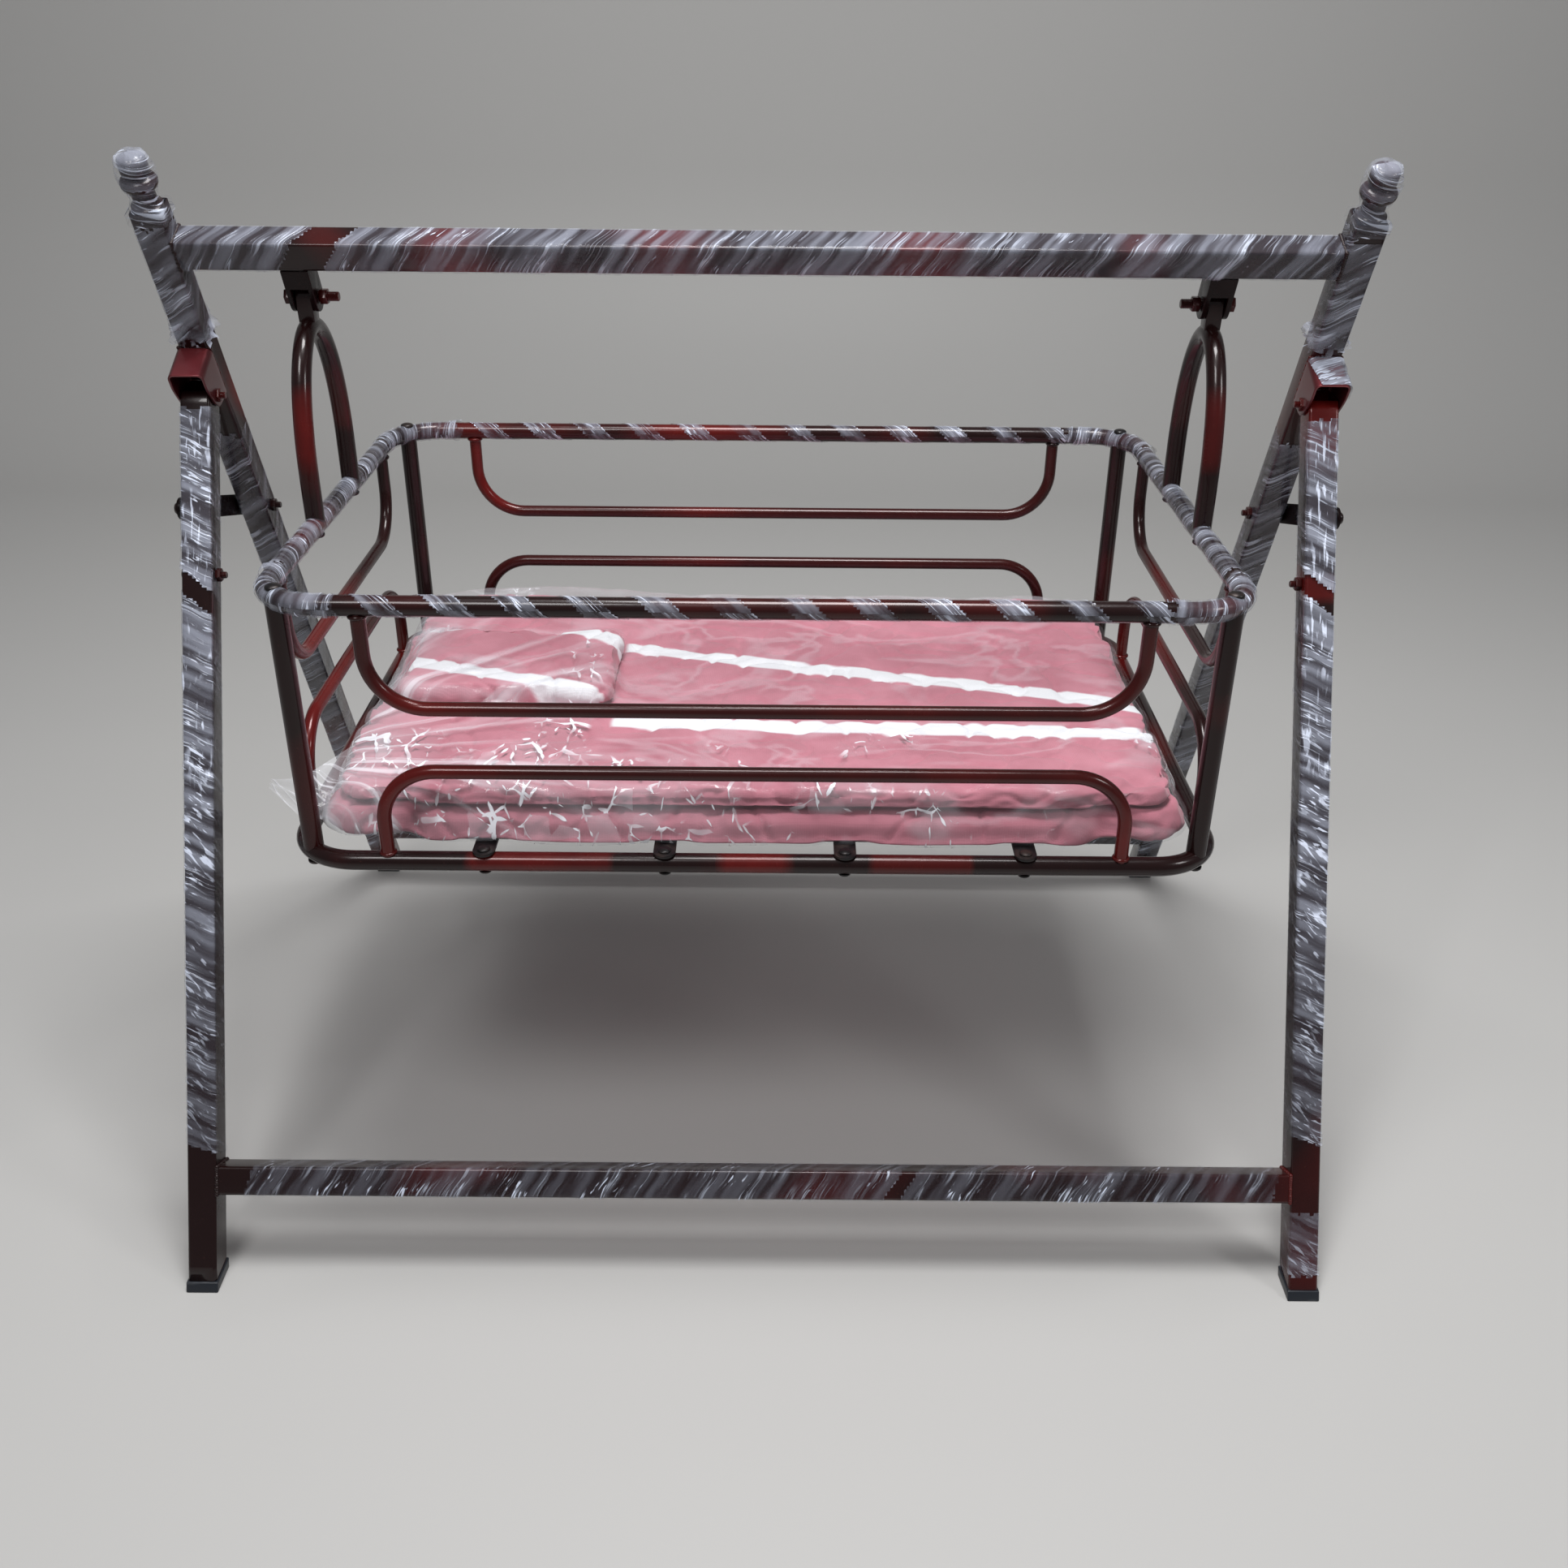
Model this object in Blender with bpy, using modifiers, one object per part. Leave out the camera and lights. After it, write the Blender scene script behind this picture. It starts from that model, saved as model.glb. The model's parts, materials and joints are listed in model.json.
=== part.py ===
"""Baby cradle swing: a folding square-tube stand that carries a railed basket with its bedding.

X runs along the top beam, -Y is the front and +Z is up. The origin is on the floor, midway
between the feet. Sizes are in metres.
"""

from math import cos, hypot, pi, radians, sin, sqrt, tan

import bmesh
import bpy
from mathutils import Matrix, Vector

# Fits
SEAT_GAP = 0.0003            # between two pieces that touch
BORE_CLEARANCE = 0.0004      # round a bolt shank, on the radius
SIDE_CLEARANCE = 0.0006      # on each side of a piece that turns between two plates

# Stand tubes
TUBE = 0.025                 # side of the square tube
TUBE_WALL = 0.0012
LEG_X = 0.476                # middle of the stand to a leg axis
FOOT_Y = 0.348               # middle of the stand to a foot axis, on the floor
LEAN = radians(25.6)         # legs from the vertical
UPRIGHT_LENGTH = 0.937       # floor to tube top, along the axis
BEAM_BELOW_TOP = 0.0365      # tube top to beam axis, along the upright
STRETCHER_RISE = 0.091       # floor to stretcher axis, along the leg

# Foot caps
CAP_RIM_HEIGHT = 0.008
CAP_OVERHANG = 0.0012
CAP_PLUG_HEIGHT = 0.014

# Finials, heights above the tube top
FINIAL_HEIGHT = 0.043
FINIAL_BASE_RADIUS = 0.0125
FINIAL_NECK_RADIUS = 0.0092
FINIAL_BEAD_RADIUS = 0.0145
FINIAL_BUTTON_RADIUS = 0.0112
FINIAL_SPIGOT = 0.014

# Front leg hinge
HINGE_RISE = 0.764           # floor to hinge pin, along the front leg
LEG_TOP_SLOPE = radians(30)  # top end of the front leg, from square across
BRACKET_WALL = 0.002
BRACKET_REACH = 0.0345       # upright face to the lip of the hood
BRACKET_PEAK = 0.0335        # hinge pin to the top of the hood, along the upright
BRACKET_LIP = 0.0325         # hinge pin to the lip of the hood, along the upright
BRACKET_CHEEK = 0.016        # lip to the lower corner of the side plates
BRACKET_SKIRT = 0.012        # hinge pin to the lower edge of the side plates

# Stays
STAY_BOLT_RISE = 0.623       # floor to stay bolt, along the upright
STUD_RISE = 0.668            # floor to stay stud, along the front leg
LEG_BOLT_RISE = 0.612        # floor to the cross bolt of the front leg
STAY_WIDTH = 0.019
STAY_THICK = 0.003
STAY_END = 0.008             # stay past the stud
STAY_STANDOFF = 0.0026       # leg face to stay face
STAY_NOTCH_CLEARANCE = 0.0011
STAY_HOOK = radians(33)      # slant of the hook's mouth, from square across towards the bolt

# Swing pivots
HANGER_X = 0.373             # middle of the stand to a hanger
PIVOT_BELOW_BEAM = 0.0445    # beam axis to pivot, along the upright
CLEVIS_LUG = 0.004
CLEVIS_WIDTH = 0.024
CLEVIS_BRIDGE = 0.0175
TONGUE_THICK = 0.013
TONGUE_WIDTH = 0.020

# Basket
RAIL_RADIUS = 0.008
POST_WALL = 0.0012
ROD_RADIUS = 0.00575
BASKET_HALF_WIDTH = 0.2405   # middle to the axis of the front rail
BASKET_CORNER = 0.050
RING_BELOW_PIVOT = 0.176     # pivot to top ring axis
RING_SPACING = 0.219         # top ring axis to bottom ring axis
SIDE_ROD_HALF = 0.294        # middle to a leg of a front or back rod
END_ROD_HALF = 0.170         # middle to a leg of an end rod
UPPER_ROD_DROP = 0.084       # top ring axis to bar axis
LOWER_ROD_RISE = 0.081       # bottom ring axis to bar axis
ROD_BEND = 0.045
HOOP_HALF = 0.0585           # middle to a hoop leg
HOOP_APEX_DROP = 0.024       # pivot to the axis of the hoop at its top
HOOP_ARCH = 0.108            # height of the hoop's arch

# Slats
SLAT_WIDTH = 0.018
SLAT_THICK = 0.0025
CROSS_SLAT_COUNT = 4
CROSS_SLAT_PITCH = 0.145
LONG_SLAT_PITCH = 0.145

# Fasteners: shank radius, head radius, head height
HINGE_PIN = (0.0030, 0.0058, 0.0024)
FRAME_BOLT = (0.0030, 0.0058, 0.0036)
SWING_BOLT = (0.0040, 0.0065, 0.0052)
RAIL_BOLT = (0.0030, 0.0062, 0.0034)
SLAT_RIVET = (0.0025, 0.0052, 0.0026)
NUT_HEIGHT = 0.0050
SWING_NUT_HEIGHT = 0.0065
FRAME_THREAD = 0.0040        # thread past a frame nut
SWING_THREAD = 0.0090        # thread past a swing nut
WELD_BITE = 0.004            # a spigot inside the piece that it is welded to

# Bedding
MATTRESS_SIZE = (0.712, 0.456, 0.027)
QUILT_SIZE = (0.690, 0.440, 0.016)
PILLOW_SIZE = (0.208, 0.156, 0.022)
PILLOW_INSET = (0.015, 0.141)   # pillow to the quilt's left and back edges

# Round counts
BORE_SIDES = 12
TURN_STEPS = 16
BEND_STEPS = 5

# Places worked out from the sizes above
UP = Vector((0, -sin(LEAN), cos(LEAN)))          # along an upright
LEG_UP = Vector((0, sin(LEAN), cos(LEAN)))       # along a front leg
FACE_OUT = Vector((0, -cos(LEAN), -sin(LEAN)))   # out of an upright's front face
HALF_TUBE = TUBE / 2
REAR_FOOT = Vector((0, FOOT_Y, 0))
FRONT_FOOT = Vector((0, -FOOT_Y, 0))
HINGE = FRONT_FOOT + LEG_UP * HINGE_RISE
STAY_BOLT_AT = REAR_FOOT + UP * STAY_BOLT_RISE
STUD_AT = FRONT_FOOT + LEG_UP * STUD_RISE
LEG_BOLT_AT = FRONT_FOOT + LEG_UP * LEG_BOLT_RISE
BEAM_AT = REAR_FOOT + UP * (UPRIGHT_LENGTH - BEAM_BELOW_TOP)
PIVOT = BEAM_AT - UP * PIVOT_BELOW_BEAM
TOP_RING_Z = PIVOT.z - RING_BELOW_PIVOT
BOTTOM_RING_Z = TOP_RING_Z - RING_SPACING
HINGE_FROM_FACE = (HINGE - REAR_FOOT).dot(FACE_OUT) - HALF_TUBE
LEG_ABOVE_HINGE = (HINGE_FROM_FACE - HALF_TUBE * cos(2 * LEAN) - SEAT_GAP) / sin(2 * LEAN)
LEG_FACE_X = LEG_X + HALF_TUBE
STAY_X = LEG_FACE_X + STAY_STANDOFF
CLEVIS_GAP = TONGUE_THICK + 2 * SIDE_CLEARANCE
CLEVIS_OUTER = CLEVIS_GAP + 2 * CLEVIS_LUG
CORNER_INSET = BASKET_CORNER * (1 - sqrt(0.5))
POST_X = HANGER_X - CORNER_INSET
POST_Y = BASKET_HALF_WIDTH - CORNER_INSET
CROSS_SLAT_Z = BOTTOM_RING_Z + RAIL_RADIUS + SEAT_GAP + SLAT_THICK / 2
MATTRESS_Z = CROSS_SLAT_Z + SLAT_THICK / 2 + SEAT_GAP
SIDES = {"left": -1, "right": 1}
YZ_PLANE = Matrix(((0, 0, 1, 0), (1, 0, 0, 0), (0, 1, 0, 0), (0, 0, 0, 1)))

for old in list(bpy.data.objects):
    bpy.data.objects.remove(old)
parts = bpy.data.collections.new("baby_cradle_swing")
cutters = bpy.data.collections.new("cutters")
bpy.context.scene.collection.children.link(parts)
bpy.context.scene.collection.children.link(cutters)


# Materials

def finish(name, colour, roughness, metallic):
    """Make a Principled material."""
    material = bpy.data.materials.new(name)
    material.use_nodes = True
    shader = material.node_tree.nodes["Principled BSDF"]
    shader.inputs["Base Color"].default_value = (*colour, 1)
    shader.inputs["Roughness"].default_value = roughness
    shader.inputs["Metallic"].default_value = metallic
    return material


MAROON = finish("maroon_paint", (0.105, 0.006, 0.008), 0.25, 0.3)
DARK_MAROON = finish("dark_maroon_paint", (0.022, 0.006, 0.006), 0.3, 0.3)
BLACK_BOLT = finish("black_bolt", (0.012, 0.011, 0.012), 0.4, 0.6)
BLACK_PLASTIC = finish("black_plastic", (0.012, 0.014, 0.018), 0.5, 0.0)
PINK_CLOTH = finish("pink_cloth", (0.62, 0.19, 0.23), 0.85, 0.0)


# Shape tools

def mesh_from(data, add_modifiers=None):
    """Evaluate a curve or mesh, with modifiers, and return a welded mesh with its faces out."""
    shape = bpy.data.objects.new("shape", data)
    bpy.context.scene.collection.objects.link(shape)
    if add_modifiers:
        add_modifiers(shape)
    graph = bpy.context.evaluated_depsgraph_get()
    mesh = bpy.data.meshes.new_from_object(shape.evaluated_get(graph))
    bpy.data.objects.remove(shape)
    work = bmesh.new()
    work.from_mesh(mesh)
    bmesh.ops.remove_doubles(work, verts=work.verts, dist=0.000001)
    bmesh.ops.recalc_face_normals(work, faces=work.faces)
    work.to_mesh(mesh)
    work.free()
    return mesh


def outline_solid(loops, thickness, matrix):
    """Extrude flat closed loops; a loop inside another is a hole."""
    curve = bpy.data.curves.new("outline", "CURVE")
    curve.dimensions = "2D"
    curve.fill_mode = "BOTH"
    curve.extrude = thickness / 2
    for loop in loops:
        spline = curve.splines.new("POLY")
        spline.points.add(len(loop) - 1)
        spline.use_cyclic_u = True
        for point, (x, y) in zip(spline.points, loop):
            point.co = (x, y, 0, 1)
    mesh = mesh_from(curve)
    mesh.transform(matrix)
    return mesh


def tube(points, radius, cyclic=False, resolution=4):
    """Sweep a round section along points."""
    curve = bpy.data.curves.new("path", "CURVE")
    curve.dimensions = "3D"
    curve.bevel_depth = radius
    curve.bevel_resolution = resolution
    curve.use_fill_caps = not cyclic
    spline = curve.splines.new("POLY")
    spline.points.add(len(points) - 1)
    spline.use_cyclic_u = cyclic
    for point, place in zip(spline.points, points):
        point.co = (*place, 1)
    return mesh_from(curve)


def turned(profile, matrix, steps=TURN_STEPS):
    """Turn a profile of (radius, height), given top to bottom, about the local Z axis."""
    mesh = bpy.data.meshes.new("profile")
    edges = [(i, i + 1) for i in range(len(profile) - 1)]
    mesh.from_pydata([(r, 0, z) for r, z in profile], edges, [])

    def screw(shape):
        modifier = shape.modifiers.new("screw", "SCREW")
        modifier.steps = steps
        modifier.render_steps = steps
        modifier.use_merge_vertices = True
        modifier.merge_threshold = 0.00001

    solid = mesh_from(mesh, screw)
    solid.transform(matrix)
    return solid


def cylinder(radius, length, matrix, sides=BORE_SIDES):
    """A solid cylinder along the local Z axis, centred."""
    mesh = bpy.data.meshes.new("cylinder")
    work = bmesh.new()
    bmesh.ops.create_cone(work, cap_ends=True, segments=sides, radius1=radius, radius2=radius, depth=length)
    work.to_mesh(mesh)
    work.free()
    mesh.transform(matrix)
    return mesh


def joined(meshes):
    """Gather separate cutters in one mesh."""
    result = bpy.data.meshes.new("group")
    work = bmesh.new()
    for mesh in meshes:
        work.from_mesh(mesh)
    work.to_mesh(result)
    work.free()
    return result


def circle(radius, x=0.0, y=0.0, sides=BORE_SIDES):
    """Points of a circle."""
    angles = [2 * pi * i / sides for i in range(sides)]
    return [(x + radius * cos(a), y + radius * sin(a)) for a in angles]


def hexagon(radius):
    """Points of a hexagon whose flats touch a circle of the radius."""
    corner = radius / cos(pi / 6)
    return [(corner * cos(pi * i / 3), corner * sin(pi * i / 3)) for i in range(6)]


def arc(centre, radius, start, end, steps):
    """Points of an arc, both ends included."""
    angles = [start + (end - start) * i / steps for i in range(steps + 1)]
    return [(centre[0] + radius * cos(a), centre[1] + radius * sin(a)) for a in angles]


def slot_outline(start_x, end_x, half_width, steps=8):
    """Outline of a strip along X with round ends centred on start_x and end_x."""
    right = arc((end_x, 0), half_width, -pi / 2, pi / 2, steps)
    left = arc((start_x, 0), half_width, pi / 2, 3 * pi / 2, steps)
    return right + left


def along_x(place):
    """Matrix that lays local Z along X at a place."""
    return Matrix.Translation(place) @ Matrix.Rotation(pi / 2, 4, "Y")


def at_side(place, x):
    """A place of the YZ plane moved to a given X."""
    return Vector((x, place.y, place.z))


# Nodes

def empty(name, place):
    """An empty on a joint axis, which carries the pieces that turn there."""
    axis = bpy.data.objects.new(name, None)
    axis.location = place
    parts.objects.link(axis)
    return axis


def node(name, mesh, material, carrier=None, smooth=False):
    """Make a named piece from a mesh in world places, hung on its carrier."""
    if carrier:
        mesh.transform(Matrix.Translation(-carrier.location))
    piece = bpy.data.objects.new(name, mesh)
    piece.parent = carrier
    mesh.materials.clear()
    mesh.materials.append(material)
    if smooth:
        mesh.shade_smooth()
        mesh.set_sharp_from_angle(angle=radians(40))
    parts.objects.link(piece)
    return piece


def boolean(piece, name, operation, mesh):
    """Cut or join a piece with a hidden tool."""
    tool = bpy.data.objects.new(name, mesh)
    tool.hide_render = True
    tool.display_type = "WIRE"
    cutters.objects.link(tool)
    modifier = piece.modifiers.new(name, "BOOLEAN")
    modifier.operation = operation
    modifier.object = tool


def drill(piece, name, bores):
    """Drill bores, given as (radius, length, matrix)."""
    boolean(piece, name, "DIFFERENCE", joined([cylinder(*bore) for bore in bores]))


FOLD_AXIS = empty("front_frame_axis", HINGE)
SWING_AXIS = empty("basket_axis", PIVOT)
STAY_AXIS = {side: empty(side + "_stay_axis", at_side(STAY_BOLT_AT, sign * STAY_X))
             for side, sign in SIDES.items()}


# Stand

def square_tube(length, matrix):
    """A hollow square tube along the local Z axis, centred."""
    inner = HALF_TUBE - TUBE_WALL
    outlines = [[(h, h), (-h, h), (-h, -h), (h, -h)] for h in (HALF_TUBE, inner)]
    return outline_solid(outlines, length, matrix)


def floor_cut(piece):
    """Cut a leg level with the top of its foot cap's rim."""
    depth = 0.1
    mesh = bpy.data.meshes.new("floor_cut")
    work = bmesh.new()
    bmesh.ops.create_cube(work, size=1)
    bmesh.ops.scale(work, vec=(3 * LEG_X, 4 * FOOT_Y, depth), verts=work.verts)
    bmesh.ops.translate(work, vec=(0, 0, CAP_RIM_HEIGHT + SEAT_GAP - depth / 2), verts=work.verts)
    work.to_mesh(mesh)
    work.free()
    boolean(piece, piece.name + "_floor_cut", "DIFFERENCE", mesh)


def leg_tube(foot, direction, start, end, turn, x):
    """A leg between two distances along its axis from the floor."""
    middle = foot + direction * ((start + end) / 2)
    place = Matrix.Translation(at_side(middle, x)) @ Matrix.Rotation(turn, 4, "X")
    return square_tube(end - start, place)


def slope_top(leg, side, x):
    """Slope the top end of a front leg, lower at the front, so that it turns freely in its hood."""
    front = Vector((0, -cos(LEAN), sin(LEAN)))
    down = front * cos(LEG_TOP_SLOPE) - LEG_UP * sin(LEG_TOP_SLOPE)
    high = HINGE + LEG_UP * LEG_ABOVE_HINGE - front * HALF_TUBE
    near, far, lift = high - down * TUBE, high + down * 2 * TUBE, LEG_UP * 2 * TUBE
    waste = [(p.y, p.z) for p in (near, far, far + lift, near + lift)]
    boolean(leg, side + "_leg_top", "DIFFERENCE",
            outline_solid([waste], 2 * TUBE, Matrix.Translation((x, 0, 0)) @ YZ_PLANE))


def cross_tube(place, turn):
    """A tube between the two legs, turned with their lean."""
    length = 2 * (LEG_X - HALF_TUBE - SEAT_GAP)
    return square_tube(length, Matrix.Translation(place) @ Matrix.Rotation(turn, 4, "X") @ along_x((0, 0, 0)))


def foot_cap(foot, direction, x):
    """A plastic cap: a rim under the tube's end and a plug inside it."""
    rim_x = HALF_TUBE + CAP_OVERHANG
    plug = TUBE_WALL + CAP_OVERHANG + SIDE_CLEARANCE
    mesh = bpy.data.meshes.new("foot_cap")
    work = bmesh.new()
    bmesh.ops.create_cube(work, size=1)
    bmesh.ops.translate(work, vec=(0, 0, 0.5), verts=work.verts)
    bmesh.ops.scale(work, vec=(2 * rim_x, 2 * rim_x, CAP_RIM_HEIGHT), verts=work.verts)
    top = [face for face in work.faces if face.normal.z > 0.5]
    bmesh.ops.inset_region(work, faces=top, thickness=plug, use_even_offset=True)
    raised = bmesh.ops.extrude_face_region(work, geom=top)["geom"]
    lifted = [item for item in raised if isinstance(item, bmesh.types.BMVert)]
    bmesh.ops.translate(work, vec=(0, 0, CAP_PLUG_HEIGHT), verts=lifted)
    bmesh.ops.delete(work, geom=top, context="FACES")
    bmesh.ops.recalc_face_normals(work, faces=work.faces)
    work.to_mesh(mesh)
    work.free()
    lean = Matrix.Identity(4)
    lean[1][1] = 1 / cos(LEAN)
    lean[1][2] = direction.y / direction.z
    mesh.transform(Matrix.Translation(at_side(foot, x)) @ lean)
    return mesh


def finial():
    """A turned knob: base, neck, bead, groove and a flat button, on a spigot."""
    bead_z = 0.5 * FINIAL_HEIGHT
    groove_z = 0.64 * FINIAL_HEIGHT
    button_low = 0.71 * FINIAL_HEIGHT
    button_high = 0.93 * FINIAL_HEIGHT
    bead_half = 0.12 * FINIAL_HEIGHT
    spigot = HALF_TUBE - TUBE_WALL - SIDE_CLEARANCE
    bead = [(FINIAL_NECK_RADIUS + (FINIAL_BEAD_RADIUS - FINIAL_NECK_RADIUS) * sin(pi * i / 6),
             bead_z + bead_half * cos(pi * i / 6)) for i in range(1, 6)]
    profile = [(0, FINIAL_HEIGHT), (0.8 * FINIAL_BUTTON_RADIUS, FINIAL_HEIGHT),
               (FINIAL_BUTTON_RADIUS, button_high), (FINIAL_BUTTON_RADIUS, button_low),
               (FINIAL_NECK_RADIUS, groove_z)] + bead
    profile += [(FINIAL_NECK_RADIUS, bead_z - bead_half), (FINIAL_NECK_RADIUS, 0.14 * FINIAL_HEIGHT),
                (FINIAL_BASE_RADIUS, 0.07 * FINIAL_HEIGHT), (FINIAL_BASE_RADIUS, SEAT_GAP),
                (spigot, SEAT_GAP), (spigot, -FINIAL_SPIGOT), (0, -FINIAL_SPIGOT)]
    return profile


def on_face(reach, rise):
    """A point given by its reach from the upright's face and its rise from the hinge pin."""
    base = HINGE + FACE_OUT * (reach - HINGE_FROM_FACE)
    return base + UP * rise


def hinge_bracket(x):
    """Side plates of the hood, from the upright's face to its lip, and the cavity that the leg turns in."""
    outer = TUBE + 2 * (SIDE_CLEARANCE + BRACKET_WALL)
    inner = TUBE + 2 * SIDE_CLEARANCE
    side = [(SEAT_GAP, BRACKET_PEAK), (BRACKET_REACH, BRACKET_LIP),
            (BRACKET_REACH, BRACKET_LIP - BRACKET_CHEEK),
            (HINGE_FROM_FACE + 0.75 * BRACKET_SKIRT, -0.15 * BRACKET_SKIRT),
            (HINGE_FROM_FACE + 0.25 * BRACKET_SKIRT, -0.85 * BRACKET_SKIRT), (SEAT_GAP, -BRACKET_SKIRT)]
    slope = (BRACKET_PEAK - BRACKET_LIP) / BRACKET_REACH
    roof = BRACKET_WALL * sqrt(1 + slope * slope)
    past = 2 * BRACKET_REACH
    hollow = [(-past, BRACKET_PEAK - roof + slope * past), (past, BRACKET_PEAK - roof - slope * past),
              (past, -past), (-past, -past)]

    def plates(points, width):
        places = [on_face(reach, rise) for reach, rise in points]
        return outline_solid([[(p.y, p.z) for p in places]], width, Matrix.Translation((x, 0, 0)) @ YZ_PLANE)

    return plates(side, outer), plates(hollow, inner)


def clevis(x):
    """Outline of the two lugs and their bridge, and the slot between the lugs."""
    frame = Matrix.Translation(at_side(PIVOT, x)) @ Matrix.Rotation(LEAN, 4, "X")
    top = PIVOT_BELOW_BEAM - HALF_TUBE - SEAT_GAP
    half = CLEVIS_WIDTH / 2
    lug = arc((0, 0), half, -pi, 0, 10) + [(half, top), (-half, top)]
    body = outline_solid([lug], CLEVIS_OUTER, frame @ YZ_PLANE)
    past = 2 * CLEVIS_WIDTH
    slot = [(-past, -past), (past, -past), (past, top - CLEVIS_BRIDGE), (-past, top - CLEVIS_BRIDGE)]
    return body, outline_solid([slot], CLEVIS_GAP, frame @ YZ_PLANE)


def dome(size):
    """Profile of a low domed head that stands on Z = 0."""
    _, head, height = size
    return [(0, height), (0.75 * head, 0.8 * height), (head, 0.25 * height), (head, 0)]


def through_bolt(size, grip, thread, matrix):
    """A bolt with its head above Z = 0, the nut past its grip and the end of its thread."""
    shank, head, _ = size
    end = -grip - NUT_HEIGHT
    profile = dome(size) + [(shank, 0), (shank, -grip), (head, -grip), (head, end), (shank, end),
                            (shank, end - thread), (0, end - thread)]
    return turned(profile, matrix, BORE_SIDES)


def tie_bolt(size, grip, matrix):
    """A long bolt with a domed head above Z = 0 and a domed nut past its grip."""
    shank = size[0]
    foot = [(radius, -grip - height) for radius, height in reversed(dome(size))]
    return turned(dome(size) + [(shank, 0), (shank, -grip)] + foot, matrix, BORE_SIDES)


def stud(size, length, matrix):
    """A headed stud whose head stands on Z = 0."""
    shank = size[0]
    return turned(dome(size) + [(shank, 0), (shank, -length), (0, -length)], matrix, BORE_SIDES)


def spigot(size, grip, matrix):
    """A pin that starts inside its welded piece above Z = 0 and ends in a domed nut past its grip."""
    shank = size[0]
    foot = [(radius, -grip - height) for radius, height in reversed(dome(size))]
    return turned([(0, WELD_BITE), (shank, WELD_BITE), (shank, -grip)] + foot, matrix, BORE_SIDES)


def nut(size, height, matrix):
    """A hexagon nut, centred, with a bore that clears its bolt."""
    shank, head, _ = size
    return outline_solid([hexagon(head), circle(shank + BORE_CLEARANCE)], height, matrix)


def outward(place, x, sign):
    """Matrix whose local Z points out of the stand's side at a place."""
    return Matrix.Translation(at_side(place, sign * x)) @ Matrix.Rotation(sign * pi / 2, 4, "Y")


def bore_along_x(size, place, sign, length):
    """Bore along X through a leg, for drill()."""
    return (size[0] + BORE_CLEARANCE, length, along_x(at_side(place, sign * LEG_X)))


def build_stand():
    """Uprights, beam, stretchers, legs, caps, finials, hinges and their fasteners."""
    leg_end = HINGE_RISE + LEG_ABOVE_HINGE
    bracket_half = HALF_TUBE + SIDE_CLEARANCE + BRACKET_WALL
    through = 4 * TUBE
    for side, sign in SIDES.items():
        x = sign * LEG_X
        upright = node(side + "_upright", leg_tube(REAR_FOOT, UP, 0, UPRIGHT_LENGTH, LEAN, x), MAROON)
        floor_cut(upright)
        drill(upright, side + "_upright_bore", [bore_along_x(FRAME_BOLT, STAY_BOLT_AT, sign, through)])
        leg = node(side + "_front_leg", leg_tube(FRONT_FOOT, LEG_UP, 0, leg_end, -LEAN, x), MAROON, FOLD_AXIS)
        floor_cut(leg)
        slope_top(leg, side, x)
        drill(leg, side + "_leg_bores", [bore_along_x(HINGE_PIN, HINGE, sign, through),
                                         bore_along_x(FRAME_BOLT, LEG_BOLT_AT, sign, through)])
        node(side + "_rear_foot_cap", foot_cap(REAR_FOOT, UP, x), BLACK_PLASTIC)
        node(side + "_front_foot_cap", foot_cap(FRONT_FOOT, LEG_UP, x), BLACK_PLASTIC, FOLD_AXIS)
        top = Matrix.Translation(at_side(REAR_FOOT + UP * UPRIGHT_LENGTH, x)) @ Matrix.Rotation(LEAN, 4, "X")
        node(side + "_finial", turned(finial(), top), MAROON, smooth=True)
        plates, hollow = hinge_bracket(x)
        bracket = node(side + "_hinge_bracket", plates, MAROON)
        boolean(bracket, side + "_bracket_hollow", "DIFFERENCE", hollow)
        drill(bracket, side + "_bracket_bore", [bore_along_x(HINGE_PIN, HINGE, sign, through)])

        grip = 2 * (bracket_half + SEAT_GAP)
        place = outward(HINGE, LEG_X + bracket_half + SEAT_GAP, sign)
        pin = through_bolt(HINGE_PIN, grip, 0.4 * FRAME_THREAD, place)
        node(side + "_hinge_bolt", pin, DARK_MAROON, smooth=True)
        stay_face = STAY_X + STAY_THICK + SEAT_GAP
        grip = stay_face - LEG_X + HALF_TUBE + SEAT_GAP
        pin = through_bolt(FRAME_BOLT, grip, FRAME_THREAD, outward(STAY_BOLT_AT, stay_face, sign))
        node(side + "_stay_bolt", pin, DARK_MAROON, smooth=True)
        place = outward(LEG_BOLT_AT, LEG_FACE_X + SEAT_GAP, sign)
        pin = through_bolt(FRAME_BOLT, TUBE + 2 * SEAT_GAP, FRAME_THREAD, place)
        node(side + "_leg_bolt", pin, DARK_MAROON, FOLD_AXIS, smooth=True)
        length = stay_face - LEG_FACE_X + 0.5 * TUBE_WALL
        pin = stud(FRAME_BOLT, length, outward(STUD_AT, stay_face, sign))
        boolean(leg, side + "_stay_stud", "UNION", pin)

    node("top_beam", cross_tube(BEAM_AT, LEAN), MAROON)
    node("rear_stretcher", cross_tube(REAR_FOOT + UP * STRETCHER_RISE, LEAN), MAROON)
    node("front_stretcher", cross_tube(FRONT_FOOT + LEG_UP * STRETCHER_RISE, -LEAN), MAROON, FOLD_AXIS)


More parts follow.
